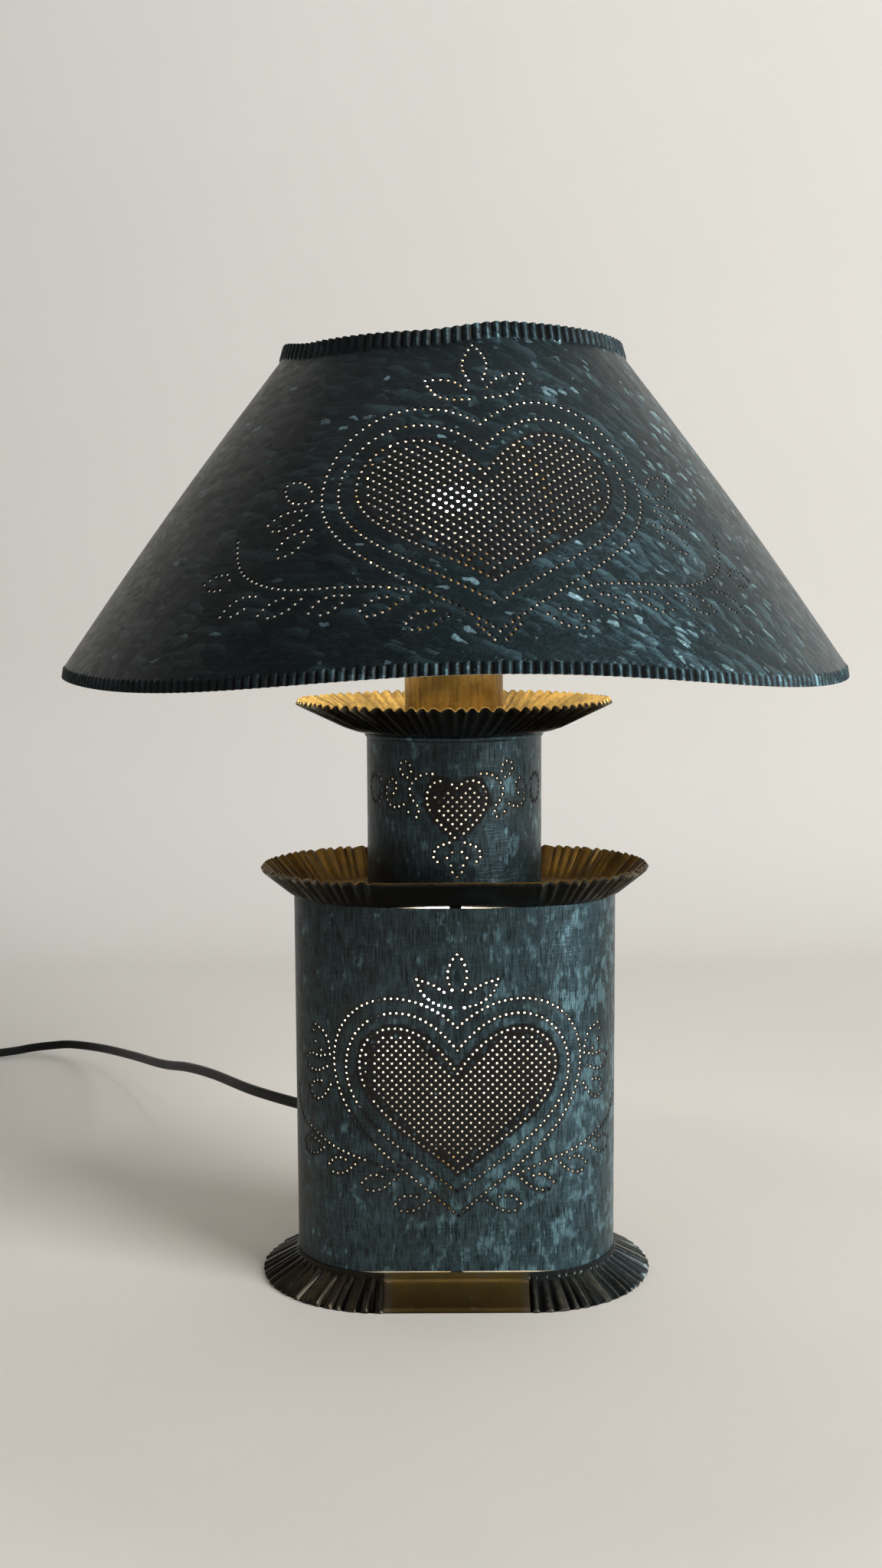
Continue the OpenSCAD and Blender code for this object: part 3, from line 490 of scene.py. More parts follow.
def bright_pan_finish(name, bright, dark):
    """Brassy tin inside the pans and on the candle tube."""
    f = Finish(name)
    place = f.place()
    cloud = f.noise(place, 48.0, 5.0, 0.6)
    fine = f.noise(place, 700.0, 3.0, 0.7)
    spots = f.noise(place, 260.0, 4.0, 0.65).ramp(0.55, 0.72)
    streak = f.noise(f.grid(place, (0.0022, 0.0022, 0.0200)), 1.0, 3.0, 0.6).ramp(0.40, 0.70)
    colour = f.mix(cloud.ramp(0.32, 0.68), rgba(bright, 0.62), rgba(bright, 1.36))
    colour = f.mix(spots * 0.35 + streak * 0.45, colour, rgba(dark, 2.4))
    return f.done(Base_Color=colour, Metallic=0.93, Roughness=0.34 + fine * 0.2,
                  Normal=f.bump(fine * 0.7 + spots * 0.5, 0.00008, 0.6))


def brushed_finish(name, colour, rough, spots=0.25, metal=1.0):
    """Turned metal with faint rings, fine brushing and dull spots."""
    f = Finish(name)
    place = f.place()
    rings = f.noise(f.grid(place, (0.016, 0.016, 0.0004)), 1.0, 2.0, 0.6)
    dull = f.noise(place, 130.0, 4.0, 0.6).ramp(0.5, 0.75)
    shade = f.mix(dull * spots, rgba(colour), rgba(colour, 0.42))
    return f.done(Base_Color=shade, Metallic=metal, Roughness=rough + rings * 0.14 + dull * 0.14,
                  Normal=f.bump(rings, 0.00003, 0.5))


def moulded_finish(name, colour, rough, pebble):
    """Black moulding or cord sheath with a fine grain and faint lighter scuffs."""
    f = Finish(name)
    place = f.place()
    grain = f.noise(place, pebble, 3.0, 0.6)
    scuff = f.noise(place, 90.0, 5.0, 0.65).ramp(0.52, 0.74)
    shade = f.mix(scuff * 0.4, rgba(colour, 0.45), rgba(colour, 1.6))
    return f.done(Base_Color=shade, Roughness=rough + grain * 0.14 - scuff * 0.06, Specular_IOR_Level=0.16,
                  Normal=f.bump(grain, 0.00006, 0.5))


def card_finish(colours):
    """Pressed card with fibres."""
    f = Finish("pressed_card")
    place = f.place()
    fibre = f.noise(f.grid(place, (0.0011, 0.0011, 0.00045)), 1.0, 4.0, 0.7)
    colour = f.mix(fibre.ramp(0.35, 0.7), rgba(colours.card, 0.7), rgba(colours.card, 1.2))
    return f.done(Base_Color=colour, Roughness=0.85, Normal=f.bump(fibre, 0.0001, 0.6))


def globe_finish(colours, light):
    """Clear globe with a faint bloom on its inside."""
    f = Finish("clear_globe")
    place = f.place()
    bloom = f.noise(place, 160.0, 3.0, 0.6)
    return f.done(Base_Color=f.mix(bloom, (0.34, 0.31, 0.26, 1.0), (0.42, 0.39, 0.34, 1.0)),
                  Roughness=0.06 + bloom * 0.05, Alpha=0.03 + bloom * 0.03,
                  Emission_Color=rgba(colours.glow), Emission_Strength=light.globe)


def capsule_finish(name, colours, strength):
    """Lit inner capsule, hottest where its coil runs."""
    f = Finish(name)
    shimmer = f.noise(f.place(), 220.0, 2.0)
    hot = f.mix(shimmer.ramp(0.35, 0.65), rgba(colours.glow), (1.0, 0.90, 0.74, 1.0))
    return f.done(Base_Color=(0.9, 0.8, 0.6, 1.0), Roughness=0.5, Emission_Color=hot, Emission_Strength=strength)


# Mesh helpers


def finished(name, bm, material, body, nodes=(), sharp=38.0):
    """Turn a bmesh into a piece that rides on a body and stands for frame nodes."""
    mesh = bpy.data.meshes.new(name)
    bm.to_mesh(mesh)
    bm.free()
    for poly in mesh.polygons:
        poly.use_smooth = True
    mesh.set_sharp_from_angle(angle=math.radians(sharp))
    piece = bpy.data.objects.new(name, mesh)
    bpy.context.scene.collection.objects.link(piece)
    for entry in material if isinstance(material, (list, tuple)) else [material]:
        mesh.materials.append(entry)
    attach(piece, body)
    if nodes:
        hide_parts(*nodes)
    return piece


def loft(rings, closed=True, caps=False, wear_and_sheen=None):
    """Skin over rings of points: the first is made as a circle and extruded from ring to ring.
    A wear and sheen list holds a number for each point of each ring, which the finish reads as rubbed wear with a
    painted highlight."""
    bm = bmesh.new()
    layer = bm.verts.layers.float.new("wear_and_sheen") if wear_and_sheen else None
    count = len(rings[0])
    row = bmesh.ops.create_circle(bm, segments=count, radius=1.0, cap_ends=False)["verts"]
    for k, (vert, point) in enumerate(zip(row, rings[0])):
        vert.co = point
        if wear_and_sheen:
            vert[layer] = wear_and_sheen[0][k]
    if not closed:
        bm.edges.remove(bm.edges.get((row[-1], row[0])))
    edges = bm.edges[:]
    first = row
    for level, points in enumerate(rings[1:], 1):
        made = bmesh.ops.extrude_edge_only(bm, edges=edges)["geom"]
        fresh = {g for g in made if isinstance(g, bmesh.types.BMVert)}
        edges = [g for g in made if isinstance(g, bmesh.types.BMEdge)
                 and g.verts[0] in fresh and g.verts[1] in fresh]
        row = [next(e.other_vert(v) for e in v.link_edges if e.other_vert(v) in fresh) for v in row]
        for k, (vert, point) in enumerate(zip(row, points)):
            vert.co = point
            if wear_and_sheen:
                vert[layer] = wear_and_sheen[level][k]
    if caps:
        bm.faces.new(first)
        bm.faces.new(row)
    bmesh.ops.recalc_face_normals(bm, faces=bm.faces[:])
    return bm


def face_out(bm, outward):
    """Turn an open skin so that its faces look the way that outward gives at a face's middle."""
    bm.normal_update()
    votes = sum(1 if f.normal.dot(outward(f.calc_center_median())) > 0 else -1 for f in bm.faces)
    if votes < 0:
        bmesh.ops.reverse_faces(bm, faces=bm.faces[:])


def thicken(bm, thickness):
    """Give a skin its thickness on the inner side."""
    bm.normal_update()
    bmesh.ops.solidify(bm, geom=bm.faces[:], thickness=thickness)
    bm.normal_update()


def smooth(t):
    u = max(0.0, min(1.0, t))
    return u * u * (3 - 2 * u)


def crease(phase):
    """Pleat section from -1 to 1: a crisp fold at whole phases and a round back between them."""
    blunt = 0.008
    return 1 - 2 * np.sqrt(np.sin(np.pi * phase) ** 2 + blunt)


def curve(points, steps):
    """Smooth curve through points, the same as the frame's cord follows."""
    p = [np.array(q, float) for q in points]
    n = len(p)
    out = []
    for i in range(n - 1):
        a = p[i - 1] if i > 0 else 2 * p[0] - p[1]
        b, c = p[i], p[i + 1]
        d = p[i + 2] if i < n - 2 else 2 * p[n - 1] - p[n - 2]
        for k in range(steps):
            t = k / steps
            out.append(0.5 * (2 * b + (c - a) * t + (2 * a - 5 * b + 4 * c - d) * t * t
                              + (3 * b - a - 3 * c + d) * t ** 3))
    out.append(p[-1])
    return out


def sweep(path, section, aside):
    """Closed tube of one section along a path; aside points up, or square to the path's plane."""
    rings = []
    for i, spot in enumerate(path):
        ahead = path[min(i + 1, len(path) - 1)] - path[max(i - 1, 0)]
        ahead = ahead / np.linalg.norm(ahead)
        side = np.cross(ahead, aside)
        side = side / np.linalg.norm(side)
        up = np.cross(side, ahead)
        rings.append([Vector((spot + side * x + up * y) * MM) for x, y in section])
    return loft(rings, caps=True)


def angles(count):
    """Even angles round a full turn."""
    return [2 * math.pi * k / count for k in range(count)]


def round_section(diameter, sides):
    return [(diameter / 2 * math.cos(a), diameter / 2 * math.sin(a)) for a in angles(sides)]


def ring_at(foot, r, z, sides):
    """Ring of points at a height over a foot."""
    return [Vector((foot[0] + r * math.cos(a), foot[1] + r * math.sin(a), foot[2] + z)) * MM for a in angles(sides)]


# Punched patterns, in millimetres on the flat sheet, for the left half; the right half mirrors it


def bezier(a, b, c, d, steps=20):
    t = np.linspace(0, 1, steps + 1)[:, None]
    a, b, c, d = (np.array(p, float) for p in (a, b, c, d))
    return a * (1 - t) ** 3 + 3 * b * t * (1 - t) ** 2 + 3 * c * t * t * (1 - t) + d * t ** 3


def heart(notch, lobe, side, tip):
    """Outline of a heart: from the notch over the left lobe and side to the tip, and back up the right."""
    rise = lobe[1] - notch
    drop = side[1] - tip
    left = np.concatenate([
        bezier((0, notch), (lobe[0] * 0.3, notch + 0.62 * rise), (lobe[0] * 0.62, lobe[1]), lobe),
        bezier(lobe, (lobe[0] + 0.56 * (side[0] - lobe[0]), lobe[1]),
               (side[0], side[1] + 0.56 * (lobe[1] - side[1])), side)[1:],
        bezier(side, (side[0], side[1] - 0.385 * drop), (0.4 * side[0], tip + 0.29 * drop), (0, tip))[1:]])
    right = left[::-1] * (-1, 1)
    return np.concatenate([left, right[1:]])


def spaced(line, step, closed=False):
    """Points at even steps along a line."""
    line = np.array(line, float)
    run = np.concatenate([[0], np.cumsum(np.linalg.norm(np.diff(line, axis=0), axis=1))])
    count = max(1, round(run[-1] / step))
    at = np.linspace(0, run[-1], count + 1)
    if closed:
        at = at[:-1]
    return [np.array((np.interp(s, run, line[:, 0]), np.interp(s, run, line[:, 1]))) for s in at]


def inside(point, line):
    """Whether a point lies inside a closed line."""
    x, y = point
    a, b = line, np.roll(line, -1, axis=0)
    cross = (a[:, 1] > y) != (b[:, 1] > y)
    rise = np.where(b[:, 1] == a[:, 1], 1e-9, b[:, 1] - a[:, 1])
    return bool((cross & (x < (b[:, 0] - a[:, 0]) * (y - a[:, 1]) / rise + a[:, 0])).sum() % 2)


def lattice(line, step, margin):
    """Holes in diagonal rows inside a closed line, clear of it by a margin."""
    low, high = line.min(axis=0), line.max(axis=0)
    across = step / math.sqrt(2)
    out = []
    for j in range(math.ceil((high[1] - low[1]) / across) + 1):
        for i in range(-80, 81):
            if (i + j) % 2:
                continue
            spot = np.array((i * across, low[1] + 0.4 * step + j * across))
            if not low[0] < spot[0] < high[0]:
                continue
            if inside(spot, line) and np.hypot(*(line - spot).T).min() > margin:
                out.append(spot)
    return out


def sparse(holes, least):
    """Holes in order, leaving out one that is too near an earlier one."""
    kept = []
    for hole in holes:
        if not kept or np.hypot(*(np.array(kept) - hole)[:, :2].T).min() >= least:
            kept.append(hole)
    return kept


def design(hearts, fill, rows, step, leaf_step, least, margin, dark, lone):
    """All holes of one face: heart outlines, the filled heart, and rows of leaf and vine on both sides.
    No two are nearer than least, and the fill keeps clear of its outline by margin, in steps. A hole's third
    number is how dark the painted shade in the dent round it is, in the filled heart and along lone rows."""
    holes = []
    for outline in hearts:
        holes += [(*p, lone) for p in spaced(outline, step, closed=True)]
    holes += [(*p, dark) for p in spaced(fill, step, closed=True) + lattice(fill, step, margin * step)]
    for row in rows:
        left = spaced(np.array(curve(row, 8)), leaf_step)
        holes += [(side * p[0], p[1], lone) for side in (1, -1) for p in left]
    return sparse([np.array(p) for p in holes], least)


BODY_CROWN = [
    [(0, 175.5), (-2.8, 172), (-4.6, 167), (-4.4, 162), (-2.6, 157.6)],
    [(-6.6, 156.5), (-12, 160.2), (-20, 163)],
    [(-19.2, 160), (-17.2, 155.8), (-11, 150.8), (-3.4, 148.8)]]
BODY_VINES = [
    [(-65.6, 123.5), (-66.5, 130), (-70, 135), (-76, 137.3)],
    [(-77.5, 134), (-76, 129), (-71.6, 124.8)],
    [(-69, 122.6), (-73, 121.7), (-79.5, 122), (-84.5, 118), (-80, 114.3), (-74, 114), (-67.5, 117)],
    [(-65.3, 108), (-68.8, 102.8), (-73.8, 99.5), (-78.5, 100.8), (-79.8, 104), (-77, 108), (-71.6, 109)],
    [(-12.5, 52), (-22.8, 60), (-33.3, 66.2), (-44.6, 71), (-56, 74.4), (-67.3, 78.2), (-77.6, 82.8),
     (-86.6, 86.8), (-92, 94), (-95, 102)],
    [(-20.6, 52.8), (-26, 53.4), (-30, 50.6), (-31.8, 47), (-26, 45.3), (-20, 46.7), (-14.6, 50.8)],
    [(-37.6, 63.5), (-42.5, 64.2), (-46.8, 61.2), (-48.6, 57.8), (-43, 55.9), (-37, 57.6), (-31.8, 61.8)],
    [(-56.8, 70.8), (-61.5, 71.5), (-65.8, 68.4), (-67.6, 65), (-62, 63.1), (-56.3, 64.9), (-51.6, 69)],
    [(-74.3, 77.3), (-80, 78.8), (-84.6, 76.2), (-86.6, 73.3), (-82.3, 70.2), (-76, 71), (-70.3, 74.8)]]
NECK_ROWS = [
    [(-3.8, 230.6), (-9.5, 228.3), (-11.9, 224), (-8.5, 220.4), (-4.9, 223)],
    [(-2.4, 226), (-3, 221), (-2.6, 216.6), (0, 213.6)],
    [(-12, 264.2), (-17, 263.8), (-22, 260.5), (-24.5, 255.5), (-22.5, 251), (-19.3, 247), (-21.5, 241.8),
     (-25.2, 245)],
    [(-23.5, 265), (-25, 269.5), (-29.5, 269), (-29.7, 264.5), (-25.6, 262)],
    [(-28, 248.6), (-33.6, 246.8), (-38.8, 249.4), (-39.6, 256), (-36, 260.8), (-32.2, 258), (-34.6, 253.6)],
    [(-44.6, 260), (-49, 262.4), (-53.6, 259.4), (-54.6, 253.6), (-51, 248.4), (-45.6, 249), (-44, 254)]]
SHADE_CROWN = [
    [(0, 88.3), (-2.6, 84.5), (-5.2, 78.5), (-5.4, 73), (-3.2, 66)],
    [(-4.8, 60.5), (-9.5, 66), (-16, 69.2), (-22.7, 70.2)],
    [(-21.8, 66.4), (-18, 59.3), (-11.5, 55.3), (-3.7, 54.2)]]
SHADE_VINES = [
    [(-2.4, -82.4), (-12.4, -70.3), (-26, -58.6), (-44.8, -48.7), (-64.1, -42.9), (-83.5, -37.1), (-96, -30.4),
     (-105.6, -21.9), (-111.4, -13.3), (-114, -3), (-114.2, 7.3)],
    [(-76.5, 13), (-83, 14.4), (-88.3, 19.4), (-90, 28), (-86.4, 29.5), (-80, 25.6), (-77, 19.4)],
    [(-81.7, 9.8), (-89.2, 11.7), (-96.7, 10.2), (-99.5, 7.1), (-93.6, 2.8), (-86, 2.8), (-79.4, 5.6)],
    [(-77.2, -4.1), (-81, -10.1), (-87.2, -14.1), (-94, -13.5), (-94.3, -9.2), (-89, -4), (-81.8, -3)],
    [(-119, -10.4), (-125.6, -8.2), (-132, -9.9), (-127.8, -15.8), (-121, -18.1), (-117.8, -14.4)],
    [(-104, -31.5), (-109.5, -29.1), (-116, -30), (-122.1, -34.8), (-116, -37.4), (-109.6, -36)],
    [(-90.8, -38.6), (-97, -39.2), (-103.1, -43.9), (-96.4, -47.2), (-89, -46.4), (-82.5, -42.7)],
    [(-61.2, -48.4), (-69, -46.2), (-75.5, -47.5), (-79.5, -53.3), (-72, -55), (-64.5, -51.6)],
    [(-45.4, -53.8), (-51, -53.6), (-56, -57), (-57.8, -60.8), (-51, -62.3), (-44, -60), (-39.2, -56.4)],
    [(-26.4, -65), (-31.5, -64.8), (-36.5, -67.7), (-39.4, -72.3), (-33, -73.8), (-26.5, -72.6), (-20.6, -68.4)]]


def punched(outline, loose, holes, hole_r, dent_r, depth, keep=None):
    """Flat sheet with its holes: a triangulation of its edge, loose points and two rings round each hole.
    A keep function drops the faces whose middle lies off the sheet.
    Returns a bmesh whose points lie at x, y and the depth of the dent, with the layers flat and dent; the dent layer
    holds how dark the painted shade is at each point."""
    spots = [Vector(p) for p in list(outline) + list(loose)]
    marks = [(0.0, 0.0, -1)] * len(spots)
    for index, hole in enumerate(holes):
        for radius, drop, dark, ring in ((hole_r, -depth, 1.0, index), (dent_r, 0.0, hole[2], -1)):
            for k in range(HOLE_SIDES):
                a = 2 * math.pi * (k + (0.5 if ring < 0 else 0.0)) / HOLE_SIDES
                spots.append(Vector((hole[0] + radius * math.cos(a), hole[1] + radius * math.sin(a))))
                marks.append((drop, dark, ring))
    verts, _, faces, origins, _, _ = geometry.delaunay_2d_cdt(spots, [], [], 0, 1e-4)
    bm = bmesh.new()
    flat = bm.verts.layers.float_vector.new("flat")
    dent = bm.verts.layers.float.new("dent")
    rings = []
    for spot, origin in zip(verts, origins):
        drop, dark, ring = marks[origin[0]]
        vert = bm.verts.new((spot.x, spot.y, drop))
        vert[flat] = (spot.x * MM, spot.y * MM, 0.0)
        vert[dent] = dark
        rings.append(ring)
    bm.verts.ensure_lookup_table()
    for face in faces:
        first = rings[face[0]]
        if first >= 0 and all(rings[i] == first for i in face):
            continue
        middle = sum((verts[i] for i in face), Vector((0.0, 0.0))) / 3
        if keep is None or keep(middle):
            bm.faces.new([bm.verts[i] for i in face])
    loners = [v for v in bm.verts if not v.link_faces]
    bmesh.ops.delete(bm, geom=loners, context="VERTS")
    return bm


def loose_points(width, height, holes, clear):
    """Grid for a sheet: fine beside the holes, coarse elsewhere and clear of every dent."""
    centres = np.array(holes)
    fine, step = GRID_FINE, GRID_COARSE / GRID_FINE
    out = []
    for j in range(1, math.ceil((height[1] - height[0]) / fine)):
        y = height[0] + j * fine
        if y > height[1] - 0.4 * fine:
            continue
        for i in range(1, math.ceil((width[1] - width[0]) / fine)):
            x = width[0] + i * fine + (0.5 * fine if j % 2 else 0.0)
            if x > width[1] - 0.4 * fine:
                continue
            gap = np.hypot(centres[:, 0] - x, centres[:, 1] - y).min()
            if gap < clear:
                continue
            if gap < GRID_NEAR or (i % step == 0 and j % step == 0):
                out.append((x, y))
    return out


def bend(bm, place):
    """Move a flat sheet's points to their place on the lamp; place takes arrays of x, y and depth."""
    spots = np.array([v.co for v in bm.verts])
    for vert, point in zip(bm.verts, place(spots[:, 0], spots[:, 1], spots[:, 2])):
        vert.co = Vector(point * MM)


def oval_spot(s, r, half):
    """Points and outward directions on an oval wall, s from the middle of its front to the viewer's right."""
    loop = 4 * half + 2 * math.pi * r
    s = (np.asarray(s, float) + loop / 2) % loop - loop / 2
    side = np.where(s < 0, -1.0, 1.0)
    run = np.abs(s)
    turn = np.clip((run - half) / r, 0, math.pi)
    front, back = run <= half, run > half + math.pi * r
    x = np.where(front, s, np.where(back, side * (half - (run - half - math.pi * r)), side * (half + r * np.sin(turn))))
    y = np.where(front, -r, np.where(back, r, -r * np.cos(turn)))
    nx = np.where(front | back, 0.0, side * np.sin(turn))
    ny = np.where(front, -1.0, np.where(back, 1.0, -np.cos(turn)))
    return x, y, nx, ny


def frame_edge(width, height, step):
    """Points along the four edges of a flat sheet, the same on its left and right."""
    across = np.linspace(width[0], width[1], max(2, round((width[1] - width[0]) / step)) + 1)
    up = np.linspace(height[0], height[1], max(2, round((height[1] - height[0]) / step)) + 1)
    return ([(x, height[0]) for x in across] + [(x, height[1]) for x in across]
            + [(width[0], y) for y in up[1:-1]] + [(width[1], y) for y in up[1:-1]])


def lap(s, start, loop, sheet):
    """Lift of the lapped seam: the end of the sheet rides over its beginning."""
    t = np.clip((s - (start + loop - LAP_FROM)) / LAP_STEP, 0, 1)
    return (sheet + LAP_GAP) * t * t * (3 - 2 * t)


def walled_sheet(sizes, r, half, z, holes, seam, bead=None, slit=False):
    """Punched upright wall, oval or round, with a lapped seam; a bead holds its height and radius, and a slit
    lowers the top edge over the front and back."""
    loop = 4 * half + 2 * math.pi * r
    width = (seam, seam + loop + LAP_W)
    both = [np.array(((p[0] + shift - seam) % loop + seam, p[1], p[2])) for shift in (0.0, loop / 2) for p in holes]
    hole_r, dent_r = sizes.hole / MM / 2, sizes.dent / MM / 2
    loose = loose_points(width, z, both, dent_r + GRID_CLEAR)
    if bead:
        loose = [p for p in loose if abs(p[1] - bead[0]) > bead[1] + 1.0]
        for k in range(-BEAD_ROWS, BEAD_ROWS + 1):
            y = bead[0] + bead[1] * math.sin(math.pi / 2 * k / BEAD_ROWS) * BEAD_SPREAD
            loose += [(x, y) for x in np.linspace(width[0] + 2, width[1] - 2, BEAD_POINTS)]
    bm = punched(frame_edge(width, z, GRID_FINE), loose, both, hole_r, dent_r, sizes.dent_depth / MM)
    sheet = sizes.sheet / MM

    def place(s, y, depth):
        x, w, nx, ny = oval_spot(s, r, half)
        out = depth + lap(s, seam, loop, sheet)
        if bead:
            swell = np.clip(1 - ((y - bead[0]) / (bead[1] * BEAD_SPREAD)) ** 2, 0, 1)
            out = out + bead[1] * BEAD_SWELL * np.sqrt(swell)
        if slit:
            near = (s + loop / 4) % (loop / 2) - loop / 4
            high = np.clip((y - z[1]) / SLIT_FADE + 1, 0, 1)
            y = y - SLIT_H * np.clip(1 - (near / SLIT_HALF) ** 2, 0, 1) * high
            low = np.clip((z[0] - y) / SLIT_FADE + 1, 0, 1)
            y = y - FOOT_DROP * np.clip((np.abs(near) - half) / FOOT_RUN, 0, 1) * low
        return np.stack([x + nx * out, w + ny * out, y], -1)

    def outward(p):
        return Vector((p.x - max(-half * MM, min(half * MM, p.x)), p.y, 0.0)).normalized()

    bend(bm, place)
    face_out(bm, outward)
    thicken(bm, sizes.sheet)
    two_toned(bm, lambda f: f.normal.dot(outward(f.calc_center_median())) < -0.5)
    return bm


def cone_angle(x, y, start):
    """Angle round the flat cut's apex, counted on from the seam."""
    return (np.arctan2(x, CONE_MID - y) - start + 0.3) % (2 * math.pi) + start - 0.3


def shade_spot(x, y, start):
    """Points of the shade's outer face from places on its flat cut."""
    rho, a = np.hypot(x, y - CONE_MID), cone_angle(x, y, start) / CONE_TURN
    u = (CONE_LOW - rho) / (CONE_LOW - CONE_HIGH)
    phi = a - math.pi / 2
    low = SHADE_Z[0] + EDGE_RISE * np.sin(phi) ** 2 - EDGE_DIP * np.sin(2 * phi) ** 2
    off = np.abs((a - DIP_AT + math.pi) % (2 * math.pi) - math.pi)
    dip = np.clip((DIP_WIDE - off) / DIP_SOFT, 0, 1)
    high = SHADE_Z[1] + TOP_RISE * np.sin(phi) ** 2 - TOP_DIP * dip * dip * (3 - 2 * dip)
    v = np.clip(u, 0, 1)
    share = (1 - LOW_LEAN) * (1 - v) + (SHADE_TOP_SHARE + HIGH_LEAN) * v + SHADE_BULGE * np.sin(math.pi * v)
    z = low + LOW_BAND + (high - low - LOW_BAND - HIGH_BAND) * v
    down = np.clip((rho - CONE_LOW) / LOW_BAND, 0, 1)
    up = np.clip((CONE_HIGH - rho) / HIGH_BAND, 0, 1)
    share = share + LOW_LEAN * down - HIGH_LEAN * up
    z = z - LOW_BAND * down + HIGH_BAND * up
    return np.stack([SHADE_W * share * np.cos(phi), SHADE_D * share * np.sin(phi), z], -1), a, down, up


def shade_sheet(sizes, holes, seam):
    """The shade's cone with its holes and the fluted band along both edges."""
    turn = 2 * math.pi * CONE_TURN
    start = math.radians(seam) * CONE_TURN
    lap_angle = SHADE_LAP / CONE_MID
    low, high = CONE_LOW + LOW_BAND, CONE_HIGH - HIGH_BAND
    both = []
    for p in holes:
        rho, a = math.hypot(p[0], p[1] - CONE_MID), math.atan2(p[0], CONE_MID - p[1])
        for shift in (0.0, turn / 2):
            b = (a + shift - start) % turn + start
            both.append(np.array((rho * math.sin(b), CONE_MID - rho * math.cos(b), p[2])))
    hole_r, dent_r = sizes.shade_hole / MM / 2, sizes.dent / MM / 2
    outline, loose = [], []

    def spot(rho, angle):
        return (rho * math.sin(angle), CONE_MID - rho * math.cos(angle))

    rows = {"low": (low, CONE_LOW + 0.9, CONE_LOW - 0.3, CONE_LOW - 1.8),
            "high": (high, CONE_HIGH - 1.1, CONE_HIGH + 0.3, CONE_HIGH + 1.8)}
    for edge, flutes in (("low", sizes.low_flutes), ("high", sizes.top_flutes)):
        for rho, samples in zip(rows[edge], (6, 6, 6, 2)):
            count = round(flutes * samples * (1 + lap_angle / turn))
            loose += [spot(rho, start + (turn + lap_angle) * k / count) for k in range(count + 1)]
    centres = np.array(both)
    slant = CONE_LOW - CONE_HIGH - 2 * SHADE_MARGIN
    levels = math.floor(slant / SHADE_GRID)
    for j in range(levels + 1):
        rho = CONE_HIGH + SHADE_MARGIN + slant * j / levels
        count = round((turn + lap_angle) * rho / SHADE_GRID)
        for k in range(count + 1):
            p = spot(rho, start + (turn + lap_angle) * k / count)
            if k in (0, count):
                outline.append(p)
                continue
            gap = np.hypot(centres[:, 0] - p[0], centres[:, 1] - p[1]).min()
            if gap > dent_r + SHADE_CLEAR and (gap < SHADE_NEAR or (j % 2 == 0 and k % 2 == 0)):
                loose.append(p)

    def keep(p):
        rho, angle = math.hypot(p.x, p.y - CONE_MID), cone_angle(p.x, p.y, start)
        return high + 0.1 < rho < low - 0.1 and start + 1e-4 < angle < start + turn + lap_angle - 1e-4

    bm = punched(outline, loose, both, hole_r, dent_r, sizes.dent_depth / MM * SHADE_DENT_GAIN, keep)
    sheet = sizes.sheet / MM

    def place(x, y, depth):
        base, a, down, up = shade_spot(x, y, start)
        inward = np.where(np.hypot(x, y - CONE_MID) > CONE_MID, 0.999, 1.001)
        aside = shade_spot(x * inward, CONE_MID + (y - CONE_MID) * inward, start)[0]
        c, s = math.cos(0.0005), math.sin(0.0005)
        round_ = shade_spot(x * c - (y - CONE_MID) * s, CONE_MID + x * s + (y - CONE_MID) * c, start)[0]
        normal = np.cross(aside - base, round_ - base)
        flat = np.stack([base[:, 0], base[:, 1], np.zeros(len(base))], -1)
        normal *= np.where((normal * flat).sum(-1) < 0, -1, 1)[:, None]
        normal /= np.linalg.norm(normal, axis=1)[:, None]
        flute = sizes.flute / MM * (np.clip(down * 7, 0, 1) * -crease(a / (2 * math.pi) * sizes.low_flutes)
                                    + np.clip(up * 7, 0, 1) * -crease(a / (2 * math.pi) * sizes.top_flutes))
        t = np.clip((a * CONE_TURN - (start + turn - SHADE_LAP_FROM)) / SHADE_LAP_STEP, 0, 1)
        point = base + normal * (depth + flute + (sheet + SHADE_LAP_GAP) * t * t * (3 - 2 * t))[:, None]
        c, s = math.cos(SHADE_YAW), math.sin(SHADE_YAW)
        return np.stack([point[:, 0] * c - point[:, 1] * s, point[:, 0] * s + point[:, 1] * c, point[:, 2]], -1)

    layer = bm.verts.layers.float["dent"]
    flat = bm.verts.layers.float_vector["flat"]
    c, s = math.cos(turn), math.sin(turn)
    for vert in bm.verts:
        x, y = vert.co.x, CONE_MID - vert.co.y
        vert[flat] = ((x * c - y * s) * MM, (CONE_MID - y * c - x * s) * MM, 0.0)
        a, down, up = shade_spot(np.array([vert.co.x]), np.array([vert.co.y]), start)[1:]
        flutes = sizes.low_flutes if down[0] > 0 else sizes.top_flutes
        # The dent layer also darkens the flute valleys as painted shade in the creases, and keeps at least 0.1 on the
        # bands so that they carry no painted glints
        if max(down[0], up[0]) > 0.05:
            vert[layer] = min(1.0, max(0.1, 0.5 + 0.6 * float(crease(a[0] / (2 * math.pi) * flutes))))
    bend(bm, place)
    face_out(bm, lambda p: Vector((p.x, p.y, 0.0)))
    thicken(bm, sizes.sheet)
    two_toned(bm, lambda f: f.normal.dot(f.calc_center_median()) < -0.03)
    return bm


def oval_columns(half, pleats, samples, plain):
    """Columns round an oval: the x of each one's centre, its direction, and its pleat phase or none."""
    columns = []
    for side in (1, -1):
        count = pleats * samples
        for k in range(count):
            a = math.pi * k / count
            turn = -math.pi / 2 + a if side > 0 else math.pi / 2 + a
            columns.append((side * half, math.cos(turn), math.sin(turn), k / samples))
        for t in [0.008] + [k / plain for k in range(1, plain)] + [0.992]:
            columns.append((side * half - side * 2 * half * t, 0.0, float(side), None))
    return columns


